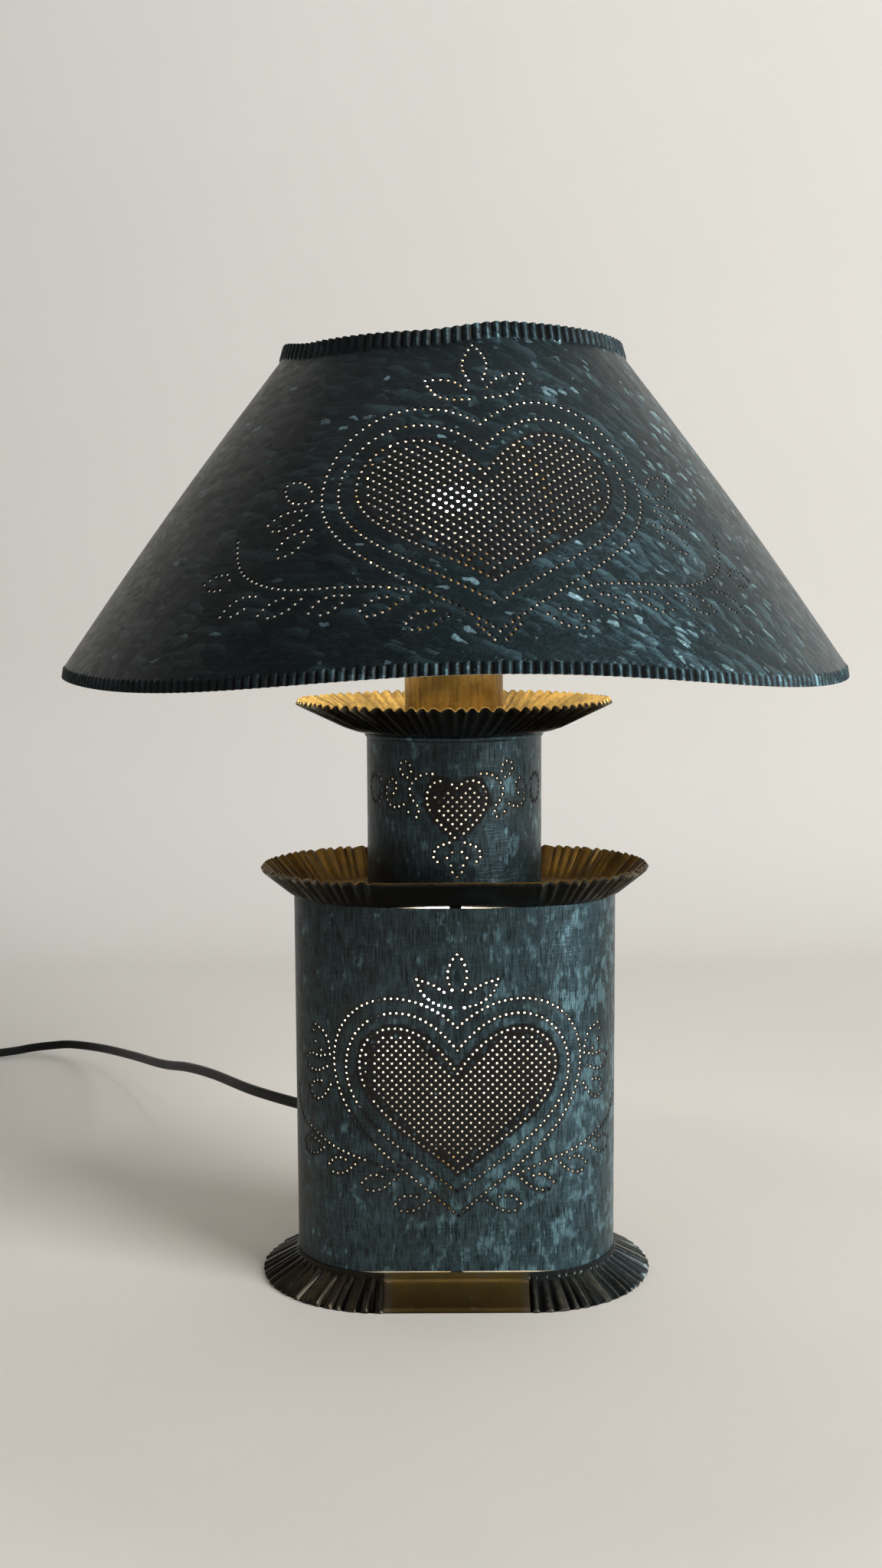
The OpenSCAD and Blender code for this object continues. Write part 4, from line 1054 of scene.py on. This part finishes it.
def pleated(columns, profile, depth, count, fade=0.0, inward=False, rim=-1):
    """Skin of a pleated wall; profile rows hold radius, height, how deep the pleats are there and their lean.
    Crisp folds stand outwards or inwards, fade out over the first and last few, and vary from one to the next."""
    rings, wear_and_sheen = [], []
    for level, (r, z, share, nr, nz) in enumerate(profile):
        ring, marks = [], []
        for cx, nx, ny, phase in columns:
            fold = 0.0
            if phase is not None:
                turn = 2 * math.pi * phase / count
                uneven = phase + 0.13 * math.sin(7 * turn) + 0.10 * math.sin(17 * turn) + 0.05 * math.sin(29 * turn)
                crimp = 1 + 0.22 * math.sin(11 * turn + 1.0) * math.sin(5 * turn)
                fold = crimp * float(crease(uneven)) * (-1 if inward else 1)
                if fade:
                    fold *= smooth(min(phase, count - phase) / fade)
            push = depth * share * fold
            ring.append(Vector(((cx + (r + push * nr) * nx) * MM, (r + push * nr) * ny * MM,
                                max(0.0, z + push * nz) * MM)))
            # Ridges and the rim row get a mark for rubbed wear with a painted highlight
            marks.append(max(0.0, fold) ** 2 * share * 0.7 + (0.8 if level == len(profile) + rim else 0.0))
        rings.append(ring)
        wear_and_sheen.append(marks)
    return loft(rings, wear_and_sheen=wear_and_sheen)


def pan_profile(r, flare, h, floor, hole, rows, bead=0.0):
    """Profile of a pan: from the hole in its floor over a shallow bead out to the rim."""
    length = math.hypot(flare, h)
    nr, nz = h / length, -flare / length
    profile = [(hole, floor, 0.0, nr, nz), (r - 3.0, floor, 0.0, nr, nz), (r - 1.7, floor - bead, 0.0, nr, nz),
               (r - 0.9, floor - 0.6 * bead, 0.0, nr, nz), (r - 0.3, floor + 0.25, 0.0, nr, nz)]
    for k in range(1, rows + 1):
        t = k / rows
        profile.append((r + flare * t, floor + h * t, min(1.0, 0.25 + 0.85 * t), nr, nz))
    return profile


def two_toned(bm, inner):
    """Give the faces that look inwards or up the second material."""
    bm.normal_update()
    for face in bm.faces:
        if inner(face):
            face.material_index = 1


def finishes(context):
    """The lamp's materials, made once."""
    store = bpy.data.materials
    colours, light = context.scene.lamp_colours, context.scene.lamp_light
    makers = {
        "blued_tin": lambda: tin_finish(colours),
        "flaked_tin": lambda: shade_finish(colours),
        "smoked_tin": lambda: pan_finish("smoked_tin", colours),
        "brassy_tin": lambda: bright_pan_finish("brassy_tin", colours.pan_worn, colours.pan),
        # A darker copy of the brassy finish: painted shade inside the lower pan
        "shaded_dull_brass": lambda: bright_pan_finish("shaded_dull_brass", colours.pan_dull_and_shaded, colours.pan),
        "bronzed_tin": lambda: pan_finish("bronzed_tin", colours, True),
        "satin_brass": lambda: brushed_finish("satin_brass", colours.brass, 0.26, 0.4),
        "plated_steel": lambda: brushed_finish("plated_steel", colours.steel, 0.28),
        "plated_nickel": lambda: brushed_finish("plated_nickel", colours.bare, 0.40, 0.2, 0.3),
        "cord_sheath": lambda: moulded_finish("cord_sheath", colours.cord, 0.36, 1500.0),
        "black_moulding": lambda: moulded_finish("black_moulding", colours.cord, 0.48, 900.0),
        "pressed_card": lambda: card_finish(colours),
        "bare_tin": lambda: bare_finish(colours),
        "clear_globe": lambda: globe_finish(colours, light),
        "upper_capsule": lambda: capsule_finish("upper_capsule", colours, light.core),
        "lower_capsule": lambda: capsule_finish("lower_capsule", colours, light.lower_core)}
    return {name: store.get(name) or make() for name, make in makers.items()}


# Cord route, in millimetres, the same as the frame's
CORD_EXIT_R = 47.55
CORD_EXIT_DIR = 130.0
CORD_EXIT_Z = 72.0
CORD_POINTS = [
    (-84.5, 57, 70), (-116.5, 100, 66), (-147.5, 160, 59), (-171, 210, 50), (-195, 262, 38),
    (-227.5, 330, 26), (-260, 385, 17), (-289, 416, 12), (-306, 425, 9), (-322, 428, 6.5),
    (-337, 424, 4.8), (-365, 412, 4.3)]
COIL_AT = np.array((-382.0, 362.0, 4.3))
COIL_START = 115.0
COIL_R, COIL_PITCH, COIL_LAYER = 42.0, 6.0, 7.2
TURNS_IN, TURNS_CLIMB, TURNS_OUT = 2.5, 0.5, 2.25
CLIMB_SHARE = 0.7
TAIL, TAIL_FLAT, TAIL_DROP = 68.0, 20.0, 40.0
PLUG_H, PLUG_L = 11.0, 26.0
RUN_STEPS, COIL_STEPS, TAIL_STEPS = 7, 40, 14


def flat_dir(degrees):
    return np.array((math.cos(math.radians(degrees)), math.sin(math.radians(degrees)), 0.0))


def coil_end():
    """Where the coil lets go of the cord, and the cord's direction there."""
    end = COIL_START + 360 * (TURNS_IN + TURNS_CLIMB + TURNS_OUT)
    r = COIL_R - TURNS_IN * COIL_PITCH + TURNS_OUT * COIL_PITCH
    return COIL_AT + r * flat_dir(end) + (0, 0, COIL_LAYER), flat_dir(end + 90)


def tail_height(s):
    """Height of the cord's middle at a distance from where the coil lets go of it."""
    top = COIL_AT[2] + COIL_LAYER
    return top + (PLUG_H / 2 - top) * smooth((s - TAIL_FLAT) / TAIL_DROP)


def cord_path(width):
    """Centre line of the cord from the eyelet over the table, through the coil and on to the plug."""
    out = flat_dir(CORD_EXIT_DIR)
    leave = np.array((-HALF, 0.0, CORD_EXIT_Z)) + CORD_EXIT_R * out
    head = flat_dir(COIL_START + 90)
    lead_in = COIL_AT + COIL_R * flat_dir(COIL_START) - width * head
    run = [leave] + curve([leave + width * out] + CORD_POINTS + [lead_in - width * head], RUN_STEPS) + [lead_in]
    turns = TURNS_IN + TURNS_CLIMB + TURNS_OUT
    inner = COIL_R - TURNS_IN * COIL_PITCH
    for k in range(int(turns * COIL_STEPS) + 1):
        t = k / COIL_STEPS
        if t < TURNS_IN:
            r = COIL_R - t * COIL_PITCH
        elif t < TURNS_IN + TURNS_CLIMB:
            r = inner - COIL_PITCH * min(t - TURNS_IN, TURNS_IN + TURNS_CLIMB - t)
        else:
            r = inner + (t - TURNS_IN - TURNS_CLIMB) * COIL_PITCH
        rise = COIL_LAYER * smooth((t - TURNS_IN) / TURNS_CLIMB / CLIMB_SHARE)
        run.append(COIL_AT + r * flat_dir(COIL_START + 360 * t) + (0, 0, rise))
    off, ahead = coil_end()
    for s in np.linspace(width, TAIL, TAIL_STEPS):
        run.append(np.array((off[0], off[1], 0.0)) + s * ahead + (0, 0, tail_height(s)))
    return run, leave


def twin_section(width, thick, sides=10):
    """Section of a flat twin cord: two cores side by side with a shallow groove between."""
    r = thick / 2
    shift = width / 2 - r
    points = []
    for sign, start in ((1, 0.0), (-1, math.pi)):
        for k in range(sides + 1):
            a = start + math.pi * k / sides
            points.append((r * math.cos(a), sign * shift + r * math.sin(a)))
        points.append((-0.78 * r * sign, 0.0))
    return points


class LampOperator:
    """Shared by the lamp's operators."""

    bl_options = {"REGISTER", "UNDO"}

    def execute(self, context):
        self.build(context, context.scene.lamp_sizes, finishes(context))
        return {"FINISHED"}


class LAMP_OT_stage(LampOperator, bpy.types.Operator):
    """Camera at the photograph's place, a pale floor that sweeps up behind, and soft studio lights"""

    bl_idname = "lamp.stage"
    bl_label = "Stage"

    def build(self, context, sizes, looks):
        scene = context.scene
        light = scene.lamp_light
        scene.view_settings.view_transform = "Standard"
        camera = bpy.data.objects.new("camera", bpy.data.cameras.new("camera"))
        scene.collection.objects.link(camera)
        camera.data.lens = SENSOR * FOCAL_PX / PHOTO_H
        camera.data.sensor_width = SENSOR
        camera.location = CAMERA_AT
        camera.rotation_euler = (math.pi / 2 - CAMERA_TILT, CAMERA_ROLL, 0.0)
        scene.camera = camera
        self.backdrop(scene)
        for name, spot, aim, size, power in (
                ("key", (2.99, -2.21, 1.81), (0.0, 0.0, 0.25), 2.08, light.key),
                ("fill", (-1.3, -0.9, 0.8), (0.0, 0.0, 0.25), 1.4, light.fill),
                ("top", (0.1, 0.1, 1.7), (0.0, 0.0, 0.2), 1.6, light.top)):
            data = bpy.data.lights.new(name, "AREA")
            data.size, data.energy = size, power
            lamp = bpy.data.objects.new(name, data)
            scene.collection.objects.link(lamp)
            lamp.location = spot
            lamp.rotation_euler = (Vector(aim) - Vector(spot)).to_track_quat("-Z", "Y").to_euler()
        world = bpy.data.worlds.new("studio")
        scene.world = world
        world.use_nodes = True
        sky = world.node_tree.nodes["Background"].inputs
        sky["Color"].default_value = (0.93, 0.96, 1.0, 1.0)
        sky["Strength"].default_value = light.world

    def backdrop(self, scene):
        """Floor that sweeps up into a wall, clear where it is seen from behind."""
        bm = bmesh.new()
        profile = [(FLOOR_FRONT, 0.0), (FLOOR_BACK, 0.0)]
        for k in range(1, SWEEP_STEPS + 1):
            a = math.pi / 2 * k / SWEEP_STEPS
            profile.append((FLOOR_BACK + SWEEP_R * math.sin(a), SWEEP_R - SWEEP_R * math.cos(a)))
        profile.append((FLOOR_BACK + SWEEP_R, WALL_TOP))
        verts = [bm.verts.new((-FLOOR_SIDE, y, z)) for y, z in profile]
        edges = [bm.edges.new(pair) for pair in zip(verts, verts[1:])]
        made = bmesh.ops.extrude_edge_only(bm, edges=edges)["geom"]
        far = [g for g in made if isinstance(g, bmesh.types.BMVert)]
        bmesh.ops.translate(bm, vec=(2 * FLOOR_SIDE, 0.0, 0.0), verts=far)
        face_out(bm, lambda p: Vector((0.0, -0.3, 1.0)))
        mesh = bpy.data.meshes.new("floor")
        bm.to_mesh(mesh)
        bm.free()
        for poly in mesh.polygons:
            poly.use_smooth = True
        f = Finish("floor")
        mottle = f.noise(f.place(), 7.0, 3.0)
        tone = scene.lamp_colours.floor
        f.done(Base_Color=f.mix(mottle, rgba(tone, 0.98), rgba(tone, 1.02)), Roughness=0.85, Specular_IOR_Level=0.15)
        mesh.materials.append(f.one_sided())
        floor = bpy.data.objects.new("floor", mesh)
        scene.collection.objects.link(floor)


class LAMP_OT_cord(LampOperator, bpy.types.Operator):
    """Flat twin cord over the table with its coil and plug, and the leads inside the lamp"""

    bl_idname = "lamp.cord"
    bl_label = "Cord"

    def build(self, context, sizes, looks):
        width, thick = sizes.cord_width / MM, sizes.cord_thick / MM
        path, leave = cord_path(width)
        bm = sweep(path, twin_section(width, thick), (0.0, 0.0, 1.0))
        cord = finished("cord", bm, looks["cord_sheath"], "stand", ("cord_run", "cord_coil"))
        plug = self.plug(looks)
        length = sum(float(np.linalg.norm(b - a)) for a, b in zip(path, path[1:])) * MM
        tuple(leave * MM)
        [tuple(p * MM) for p in path]
        self.leads(looks, width, thick, leave)

    def plug(self, looks):
        """Moulded two-pin plug with a tapered, ribbed neck that guards the cord."""
        off, ahead = coil_end()
        foot = np.array((off[0], off[1], 0.0)) + TAIL * ahead
        side = np.array((-ahead[1], ahead[0], 0.0))
        neck, ribs = 16.0, 12
        pitch = (neck + 8.0) / ribs
        stations = [(-neck, 3.45, 1.95)]
        for k in range(ribs):
            at, wide, tall = 0.8 - neck + pitch * k, 3.5 + 0.12 * k, 2.0 + 0.14 * k
            stations += [(at, wide, tall), (at + 0.5, wide + 0.5, tall + 0.4), (at + 1.1, wide + 0.5, tall + 0.4),
                         (at + 1.5, wide + 0.1, tall + 0.1)]
        stations += [(9.4, 6.6, 4.4), (11.5, 8.8, 5.2), (14.0, 9.9, 5.5), (PLUG_L - 1.2, 10.0, 5.5),
                     (PLUG_L - 0.2, 9.6, 5.1), (PLUG_L, 8.9, 4.5)]
        square = 0.62
        rings = []
        for run, wide, tall in stations:
            ring = []
            for a in angles(32):
                c, s = math.cos(a), math.sin(a)
                x = wide * math.copysign(abs(c) ** square, c)
                y = tall * math.copysign(abs(s) ** square, s)
                ring.append(Vector((foot + run * ahead + x * side + (0, 0, tail_height(TAIL + run) + y)) * MM))
            rings.append(ring)
        bm = loft(rings, caps=True)
        return finished("plug", bm, looks["black_moulding"], "stand", ("plug_body",))

    def leads(self, looks, width, thick, leave):
        """The cord's end inside the body and the lead to each socket."""
        out = flat_dir(CORD_EXIT_DIR)
        splice_in, splice_r, splice_h, gap = 33.0, 5.0, 16.0, 0.2
        inner = leave - (splice_in - splice_r - gap) * out
        bm = sweep([leave, (leave + inner) / 2, inner], twin_section(width, thick), (0.0, 0.0, 1.0))
        finished("cord_end", bm, looks["cord_sheath"], "stand", ("cord_lead",))
        splice = leave - splice_in * out - (0, 0, 6)
        start = splice - (0, 0, gap)
        end = np.array((LOWER_SOCKET[0] - 14.0, 0.0, LOWER_SOCKET[2] + 3.0))
        low = [start, start - (0, 0, 8), (-40, 9, 48), (-31, 5, 50), end - (5, -1, 3), end]
        self.wire("lower_wire", low, looks, "lower_lead")
        start = splice + (0, 0, splice_h + gap)
        foot = TOP_FLOOR - 10.0
        high = [start, start + (0, 0, 12), (-42, 10, 130), (-34, 8, 178), (-20, 4, 218), (-4, 1, foot - 18),
                (0, 0, foot - 6), (0, 0, foot + 4)]
        self.wire("upper_wire", high, looks, "upper_lead")

    def wire(self, name, points, looks, node):
        bm = sweep(curve(points, 6), round_section(4.0, 12), (0.0, 1.0, 0.0))
        finished(name, bm, looks["cord_sheath"], "stand", (node,))


class LAMP_OT_body(LampOperator, bpy.types.Operator):
    """Oval body sheet, punched with the large heart on its front and back"""

    bl_idname = "lamp.body"
    bl_label = "Body"

    def build(self, context, sizes, looks):
        step = sizes.body_step / MM
        hearts = [heart(138.8, (-33.2, 153.5), (-63.0, 121.5), 43.0),
                  heart(127.2, (-31.2, 146.2), (-56.0, 118.5), 54.8)]
        fill = heart(115.5, (-32.0, 138.5), (-48.8, 120.3), 65.5)
        holes = design(hearts, fill, BODY_CROWN + BODY_VINES, step, leaf_step=step, least=0.94 * step, margin=0.78,
                       dark=0.85, lone=0.42)
        holes = [p + BODY_SHIFT for p in holes]
        bm = walled_sheet(sizes, BODY_R, HALF, (BODY_FOOT, BODY_TOP), holes, BODY_SEAM, slit=True)
        finished("body_sheet", bm, (looks["blued_tin"], looks["bare_tin"]), "stand", ("body_shell",))


class LAMP_OT_neck(LampOperator, bpy.types.Operator):
    """Round neck sheet, punched with the small heart, with a rolled bead at its top"""

    bl_idname = "lamp.neck"
    bl_label = "Neck"

    def build(self, context, sizes, looks):
        step = sizes.body_step / MM
        fill = heart(257.4, (-7.6, 260.9), (-15.0, 252.2), 232.0)
        holes = design([], fill, NECK_ROWS, step, leaf_step=step, least=0.92 * step, margin=0.5, dark=0.8, lone=0.42)
        holes = [p + NECK_SHIFT for p in holes]
        bead = (NECK_Z[1] - BEAD_R - 0.2, BEAD_R)
        bm = walled_sheet(sizes, NECK_R, 0.0, NECK_Z, holes, NECK_SEAM, bead)
        finished("neck_sheet", bm, (looks["blued_tin"], looks["bare_tin"]), "stand", ("neck_tube",))


class LAMP_OT_shade(LampOperator, bpy.types.Operator):
    """Conical shade sheet, punched with the heart on its front and back, both edges fluted"""

    bl_idname = "lamp.shade"
    bl_label = "Shade"

    def build(self, context, sizes, looks):
        step = sizes.shade_step / MM
        hearts = [heart(38.1, (-33.0, 53.3), (-72.2, 9.5), -78.0),
                  heart(23.6, (-33.0, 43.2), (-64.5, 9.0), -64.0)]
        fill = heart(8.5, (-34.0, 34.0), (-56.3, 9.5), -51.0)
        holes = design(hearts, fill, SHADE_CROWN + SHADE_VINES, step, leaf_step=0.95 * step, least=0.9 * step,
                       margin=0.78, dark=0.6, lone=0.24)
        bm = shade_sheet(sizes, holes, SHADE_SEAM)
        finished("shade_sheet", bm, (looks["flaked_tin"], looks["bare_tin"]), "shade", ("shade_shell",))


class LAMP_OT_pans(LampOperator, bpy.types.Operator):
    """Lower and upper drip pans, the pleated base skirt and the candle tube"""

    bl_idname = "lamp.pans"
    bl_label = "Pans and base"

    def build(self, context, sizes, looks):
        # The lower pan's inside takes the darker brass: painted shade under the upper pan
        tones = (looks["smoked_tin"], looks["shaded_dull_brass"])
        depth = sizes.pleat / MM
        columns = oval_columns(HALF, sizes.pan_pleats, PLEAT_POINTS, PLAIN_POINTS)
        profile = pan_profile(BODY_R, PAN_RIM[0], PAN_RIM[1], PAN_FLOOR, BODY_R - 8, 7, 0.42)[1:]
        bm = pleated(columns, profile, depth, sizes.pan_pleats, fade=1.6)
        self.pan("lower_pan_rim", bm, lambda p: Vector((p.x * 0.5, p.y, -0.03)), sizes, tones, "lower_pan")
        self.lower_floor(sizes, tones)
        round_columns = [(0.0, math.cos(a), math.sin(a), a / (2 * math.pi) * sizes.top_pleats)
                         for a in angles(sizes.top_pleats * PLEAT_POINTS)]
        pipe_hole = 5.2
        profile = pan_profile(TOP_FLOOR_R, TOP_RIM[0], TOP_RIM[1], TOP_FLOOR, pipe_hole, 8)
        bm = pleated(round_columns, profile, depth, sizes.top_pleats)
        tones = (looks["smoked_tin"], looks["brassy_tin"])
        self.pan("upper_pan_sheet", bm, lambda p: Vector((p.x, p.y, -0.03)), sizes, tones, "upper_pan")
        self.skirt(sizes, looks)
        self.candle(sizes, looks)

    def pan(self, name, bm, outward, sizes, tones, node):
        """Finish a pan's skin: outside dark, inside brassy."""
        face_out(bm, outward)
        thicken(bm, sizes.sheet)
        two_toned(bm, lambda f: f.normal.z > LOOKS_UP)
        finished(name, bm, tones, "stand", (node,), PLEAT_SHARP)

    def lower_floor(self, sizes, tones):
        """Floor of the lower pan with the light hole under the neck."""
        outer, inner = [], []
        hole, run, z = NECK_R - 5.6, BODY_R - 2.8, (PAN_FLOOR + 0.02) * MM
        for a in angles(160):
            c, s = math.cos(a), math.sin(a)
            inner.append(Vector((hole * c * MM, hole * s * MM, z)))
            reach = HALF * abs(c) + math.sqrt(max(0.0, run ** 2 - (HALF * s) ** 2))
            if abs(reach * c) < HALF:
                reach = run / abs(s)
            outer.append(Vector((reach * c * MM, reach * s * MM, z)))
        bm = loft([inner, outer])
        self.pan("lower_pan_floor", bm, lambda p: Vector((0.0, 0.0, -1.0)), sizes, tones, "lower_pan")

    def skirt(self, sizes, looks):
        """Pleated skirt of the base with a plain front and back, a collar at its top and a folded hem."""
        columns = oval_columns(HALF, sizes.base_pleats, PLEAT_POINTS, PLAIN_POINTS)
        depth = sizes.pleat / MM * 1.25
        drop, flare = BASE_TOP - 3.0, BASE_FLARE
        length = math.hypot(drop, flare)
        nr, nz = drop / length, flare / length
        profile = [(BODY_R + 0.6, BASE_TOP, 0.0, nr, nz), (BODY_R + 0.6, BASE_TOP - 2.4, 0.0, nr, nz),
                   (BODY_R + 1.2, BASE_TOP - 3.2, 0.30, nr, nz)]
        for k in range(1, 8):
            t = k / 7
            profile.append((BODY_R + 0.6 + (flare - 1.0) * t, BASE_TOP - 3.0 - (drop - 0.7) * t,
                            min(1.0, 0.38 + 0.75 * t), nr, nz))
        profile += [(BODY_R + flare - 0.1, 0.25, 0.8, nr, nz), (BODY_R + flare - 0.5, 0.0, 0.7, nr, 0.0),
                    (BODY_R + flare - 3.0, 0.0, 0.2, nr, 0.0), (BODY_R + flare - 3.2, 0.5, 0.2, nr, 0.0)]
        bm = pleated(columns, profile, depth, sizes.base_pleats, inward=True, rim=-4)
        face_out(bm, lambda p: Vector((p.x * 0.5, p.y, 0.03)) if p.z > 0.001 else Vector((0.0, 0.0, -1.0)))
        thicken(bm, sizes.sheet * 0.8)
        for vert in bm.verts:
            vert.co.z = max(0.0, vert.co.z)
        finished("base_skirt", bm, looks["bronzed_tin"], "stand", ("base_flange",), PLEAT_SHARP)

    def candle(self, sizes, looks):
        """Candle tube with a lapped seam at its back."""
        rings = []
        seam, overlap, steps = math.pi / 2, 0.2, 144
        for z in np.linspace(CANDLE_Z[0], CANDLE_Z[1], 6):
            ring = []
            for k in range(steps + 1):
                a = seam + (2 * math.pi + overlap) * k / steps
                r = CANDLE_R + 0.66 * smooth((a - seam - 2 * math.pi + 0.12) / 0.08)
                ring.append(Vector((r * math.cos(a) * MM, r * math.sin(a) * MM, z * MM)))
            rings.append(ring)
        bm = loft(rings, closed=False)
        face_out(bm, lambda p: Vector((p.x, p.y, 0.0)))
        thicken(bm, sizes.sheet)
        finished("candle_sheet", bm, looks["brassy_tin"], "stand", ("candle_tube",), PLEAT_SHARP)


class LAMP_OT_bulbs(LampOperator, bpy.types.Operator):
    """Lit capsules inside the two bulbs, on their stems, and the finish of their globes"""

    bl_idname = "lamp.bulbs"
    bl_label = "Bulbs"

    def build(self, context, sizes, looks):
        for name, node, body, foot in (("upper_capsule", "bulb_glass", "bulb", (0.0, 0.0, SOCKET_Z)),
                                       ("lower_capsule", "lower_bulb_glass", "lower_bulb", LOWER_SOCKET)):
            self.capsule(name, body, foot, looks)
            self.stem(name.replace("capsule", "stem"), body, foot, looks)
            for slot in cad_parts[node].material_slots:
                slot.material = looks["clear_globe"]

    def capsule(self, name, body, foot, looks):
        """Squat capsule, wider than it is tall."""
        wide, tall = 12.5, 6.5
        rings = []
        for k in range(1, 16):
            a = math.pi * k / 16 - math.pi / 2
            rings.append(ring_at(foot, wide * math.cos(a) ** 0.8, GLOBE_Z + tall * math.sin(a), 32))
        finished(name, loft(rings, caps=True), looks[name], body)

    def stem(self, name, body, foot, looks):
        """Glass stem that carries the capsule, with a flare at its foot."""
        profile = ((9.0, 58.5), (7.0, 60.5), (4.2, 63.0), (3.2, 66.0), (3.2, 70.5), (4.4, 72.3))
        rings = [ring_at(foot, r, z, 24) for r, z in profile]
        finished(name, loft(rings, caps=True), looks["clear_globe"], body)


class LAMP_OT_fittings(LampOperator, bpy.types.Operator):
    """Round harp wire, and the finishes of the pieces that keep the frame's shape"""

    bl_idname = "lamp.fittings"
    bl_label = "Fittings"

    def build(self, context, sizes, looks):
        self.harp(looks)
        groups = {
            "satin_brass": ("lamp_pipe", "lock_nuts", "harp_saddle", "harp_sleeves", "harp_stud", "finial",
                            "shade_washer", "shade_arms", "socket_cap", "socket_shell", "switch_shaft", "lower_pipe",
                            "plug_blades"),
            "plated_nickel": ("lower_cap", "lower_shell"),
            "plated_steel": ("base_plate", "lock_washer", "socket_screw", "bulb_base", "socket_strap", "strap_screws",
                             "strap_nuts", "lower_screw", "lower_bulb_base"),
            "black_moulding": ("socket_core", "switch_knob", "lower_core", "splice_cap", "cord_tie", "cord_eyelet"),
            "smoked_tin": ("base_tabs", "top_tabs", "candle_cap"),
            "pressed_card": ("socket_liner",)}
        for look, nodes in groups.items():
            for node in nodes:
                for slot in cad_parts[node].material_slots:
                    slot.material = looks[look]

    def harp(self, looks):
        """Harp wire from sleeve to sleeve, widest half way up and flat under the stud."""
        span, bow, neck, wire = 30.0, 50.0, 14, 3.2
        rise, stud_foot, gap = 130.0, 3.0, 0.1
        bar = rise - stud_foot - wire / 2 - gap
        right = [(span, 18.5), (span, 26.0), (span, 31.0), (span + (bow - span) * 0.6, 46.0), (bow, 70.0),
                 (bow + (neck - bow) * 0.2, 92.0), (bow + (neck - bow) * 0.62, bar - 14), (16, bar - 4),
                 (11, bar - 0.5), (7, bar), (3, bar), (0, bar)]
        loop = [(x, 0.0, SOCKET_Z + z) for x, z in right] + [(-x, 0.0, SOCKET_Z + z) for x, z in right[-2::-1]]
        bm = sweep(curve(loop, 6), round_section(wire, 14), (0.0, 1.0, 0.0))
        finished("harp_wire", bm, looks["satin_brass"], "stand", ("harp",))


class LAMP_PT_panel(bpy.types.Panel):
    """Lists the lamp's pieces"""

    bl_idname = "LAMP_PT_panel"
    bl_label = "Punched Tin Lamp"
    bl_space_type = "VIEW_3D"
    bl_region_type = "UI"
    bl_category = "Lamp"

    def draw(self, context):
        for operator in OPERATORS:
            self.layout.operator(operator.bl_idname)
        for group in (context.scene.lamp_sizes, context.scene.lamp_colours, context.scene.lamp_light):
            box = self.layout.box()
            for name in group.__annotations__:
                box.prop(group, name)


OPERATORS = (LAMP_OT_stage, LAMP_OT_cord, LAMP_OT_body, LAMP_OT_neck, LAMP_OT_shade, LAMP_OT_pans, LAMP_OT_bulbs,
             LAMP_OT_fittings)
GROUPS = (LampSizes, LampColours, LampLight)


def register():
    for entry in GROUPS + OPERATORS + (LAMP_PT_panel,):
        bpy.utils.register_class(entry)
    bpy.types.Scene.lamp_sizes = PointerProperty(type=LampSizes)
    bpy.types.Scene.lamp_colours = PointerProperty(type=LampColours)
    bpy.types.Scene.lamp_light = PointerProperty(type=LampLight)


def unregister():
    del bpy.types.Scene.lamp_light
    del bpy.types.Scene.lamp_colours
    del bpy.types.Scene.lamp_sizes
    for entry in reversed(GROUPS + OPERATORS + (LAMP_PT_panel,)):
        bpy.utils.unregister_class(entry)


def main():
    register()
    bpy.ops.lamp.stage()
    bpy.ops.lamp.cord()
    bpy.ops.lamp.body()
    bpy.ops.lamp.neck()
    bpy.ops.lamp.shade()
    bpy.ops.lamp.pans()
    bpy.ops.lamp.bulbs()
    bpy.ops.lamp.fittings()


if __name__ == "__main__":
    main()
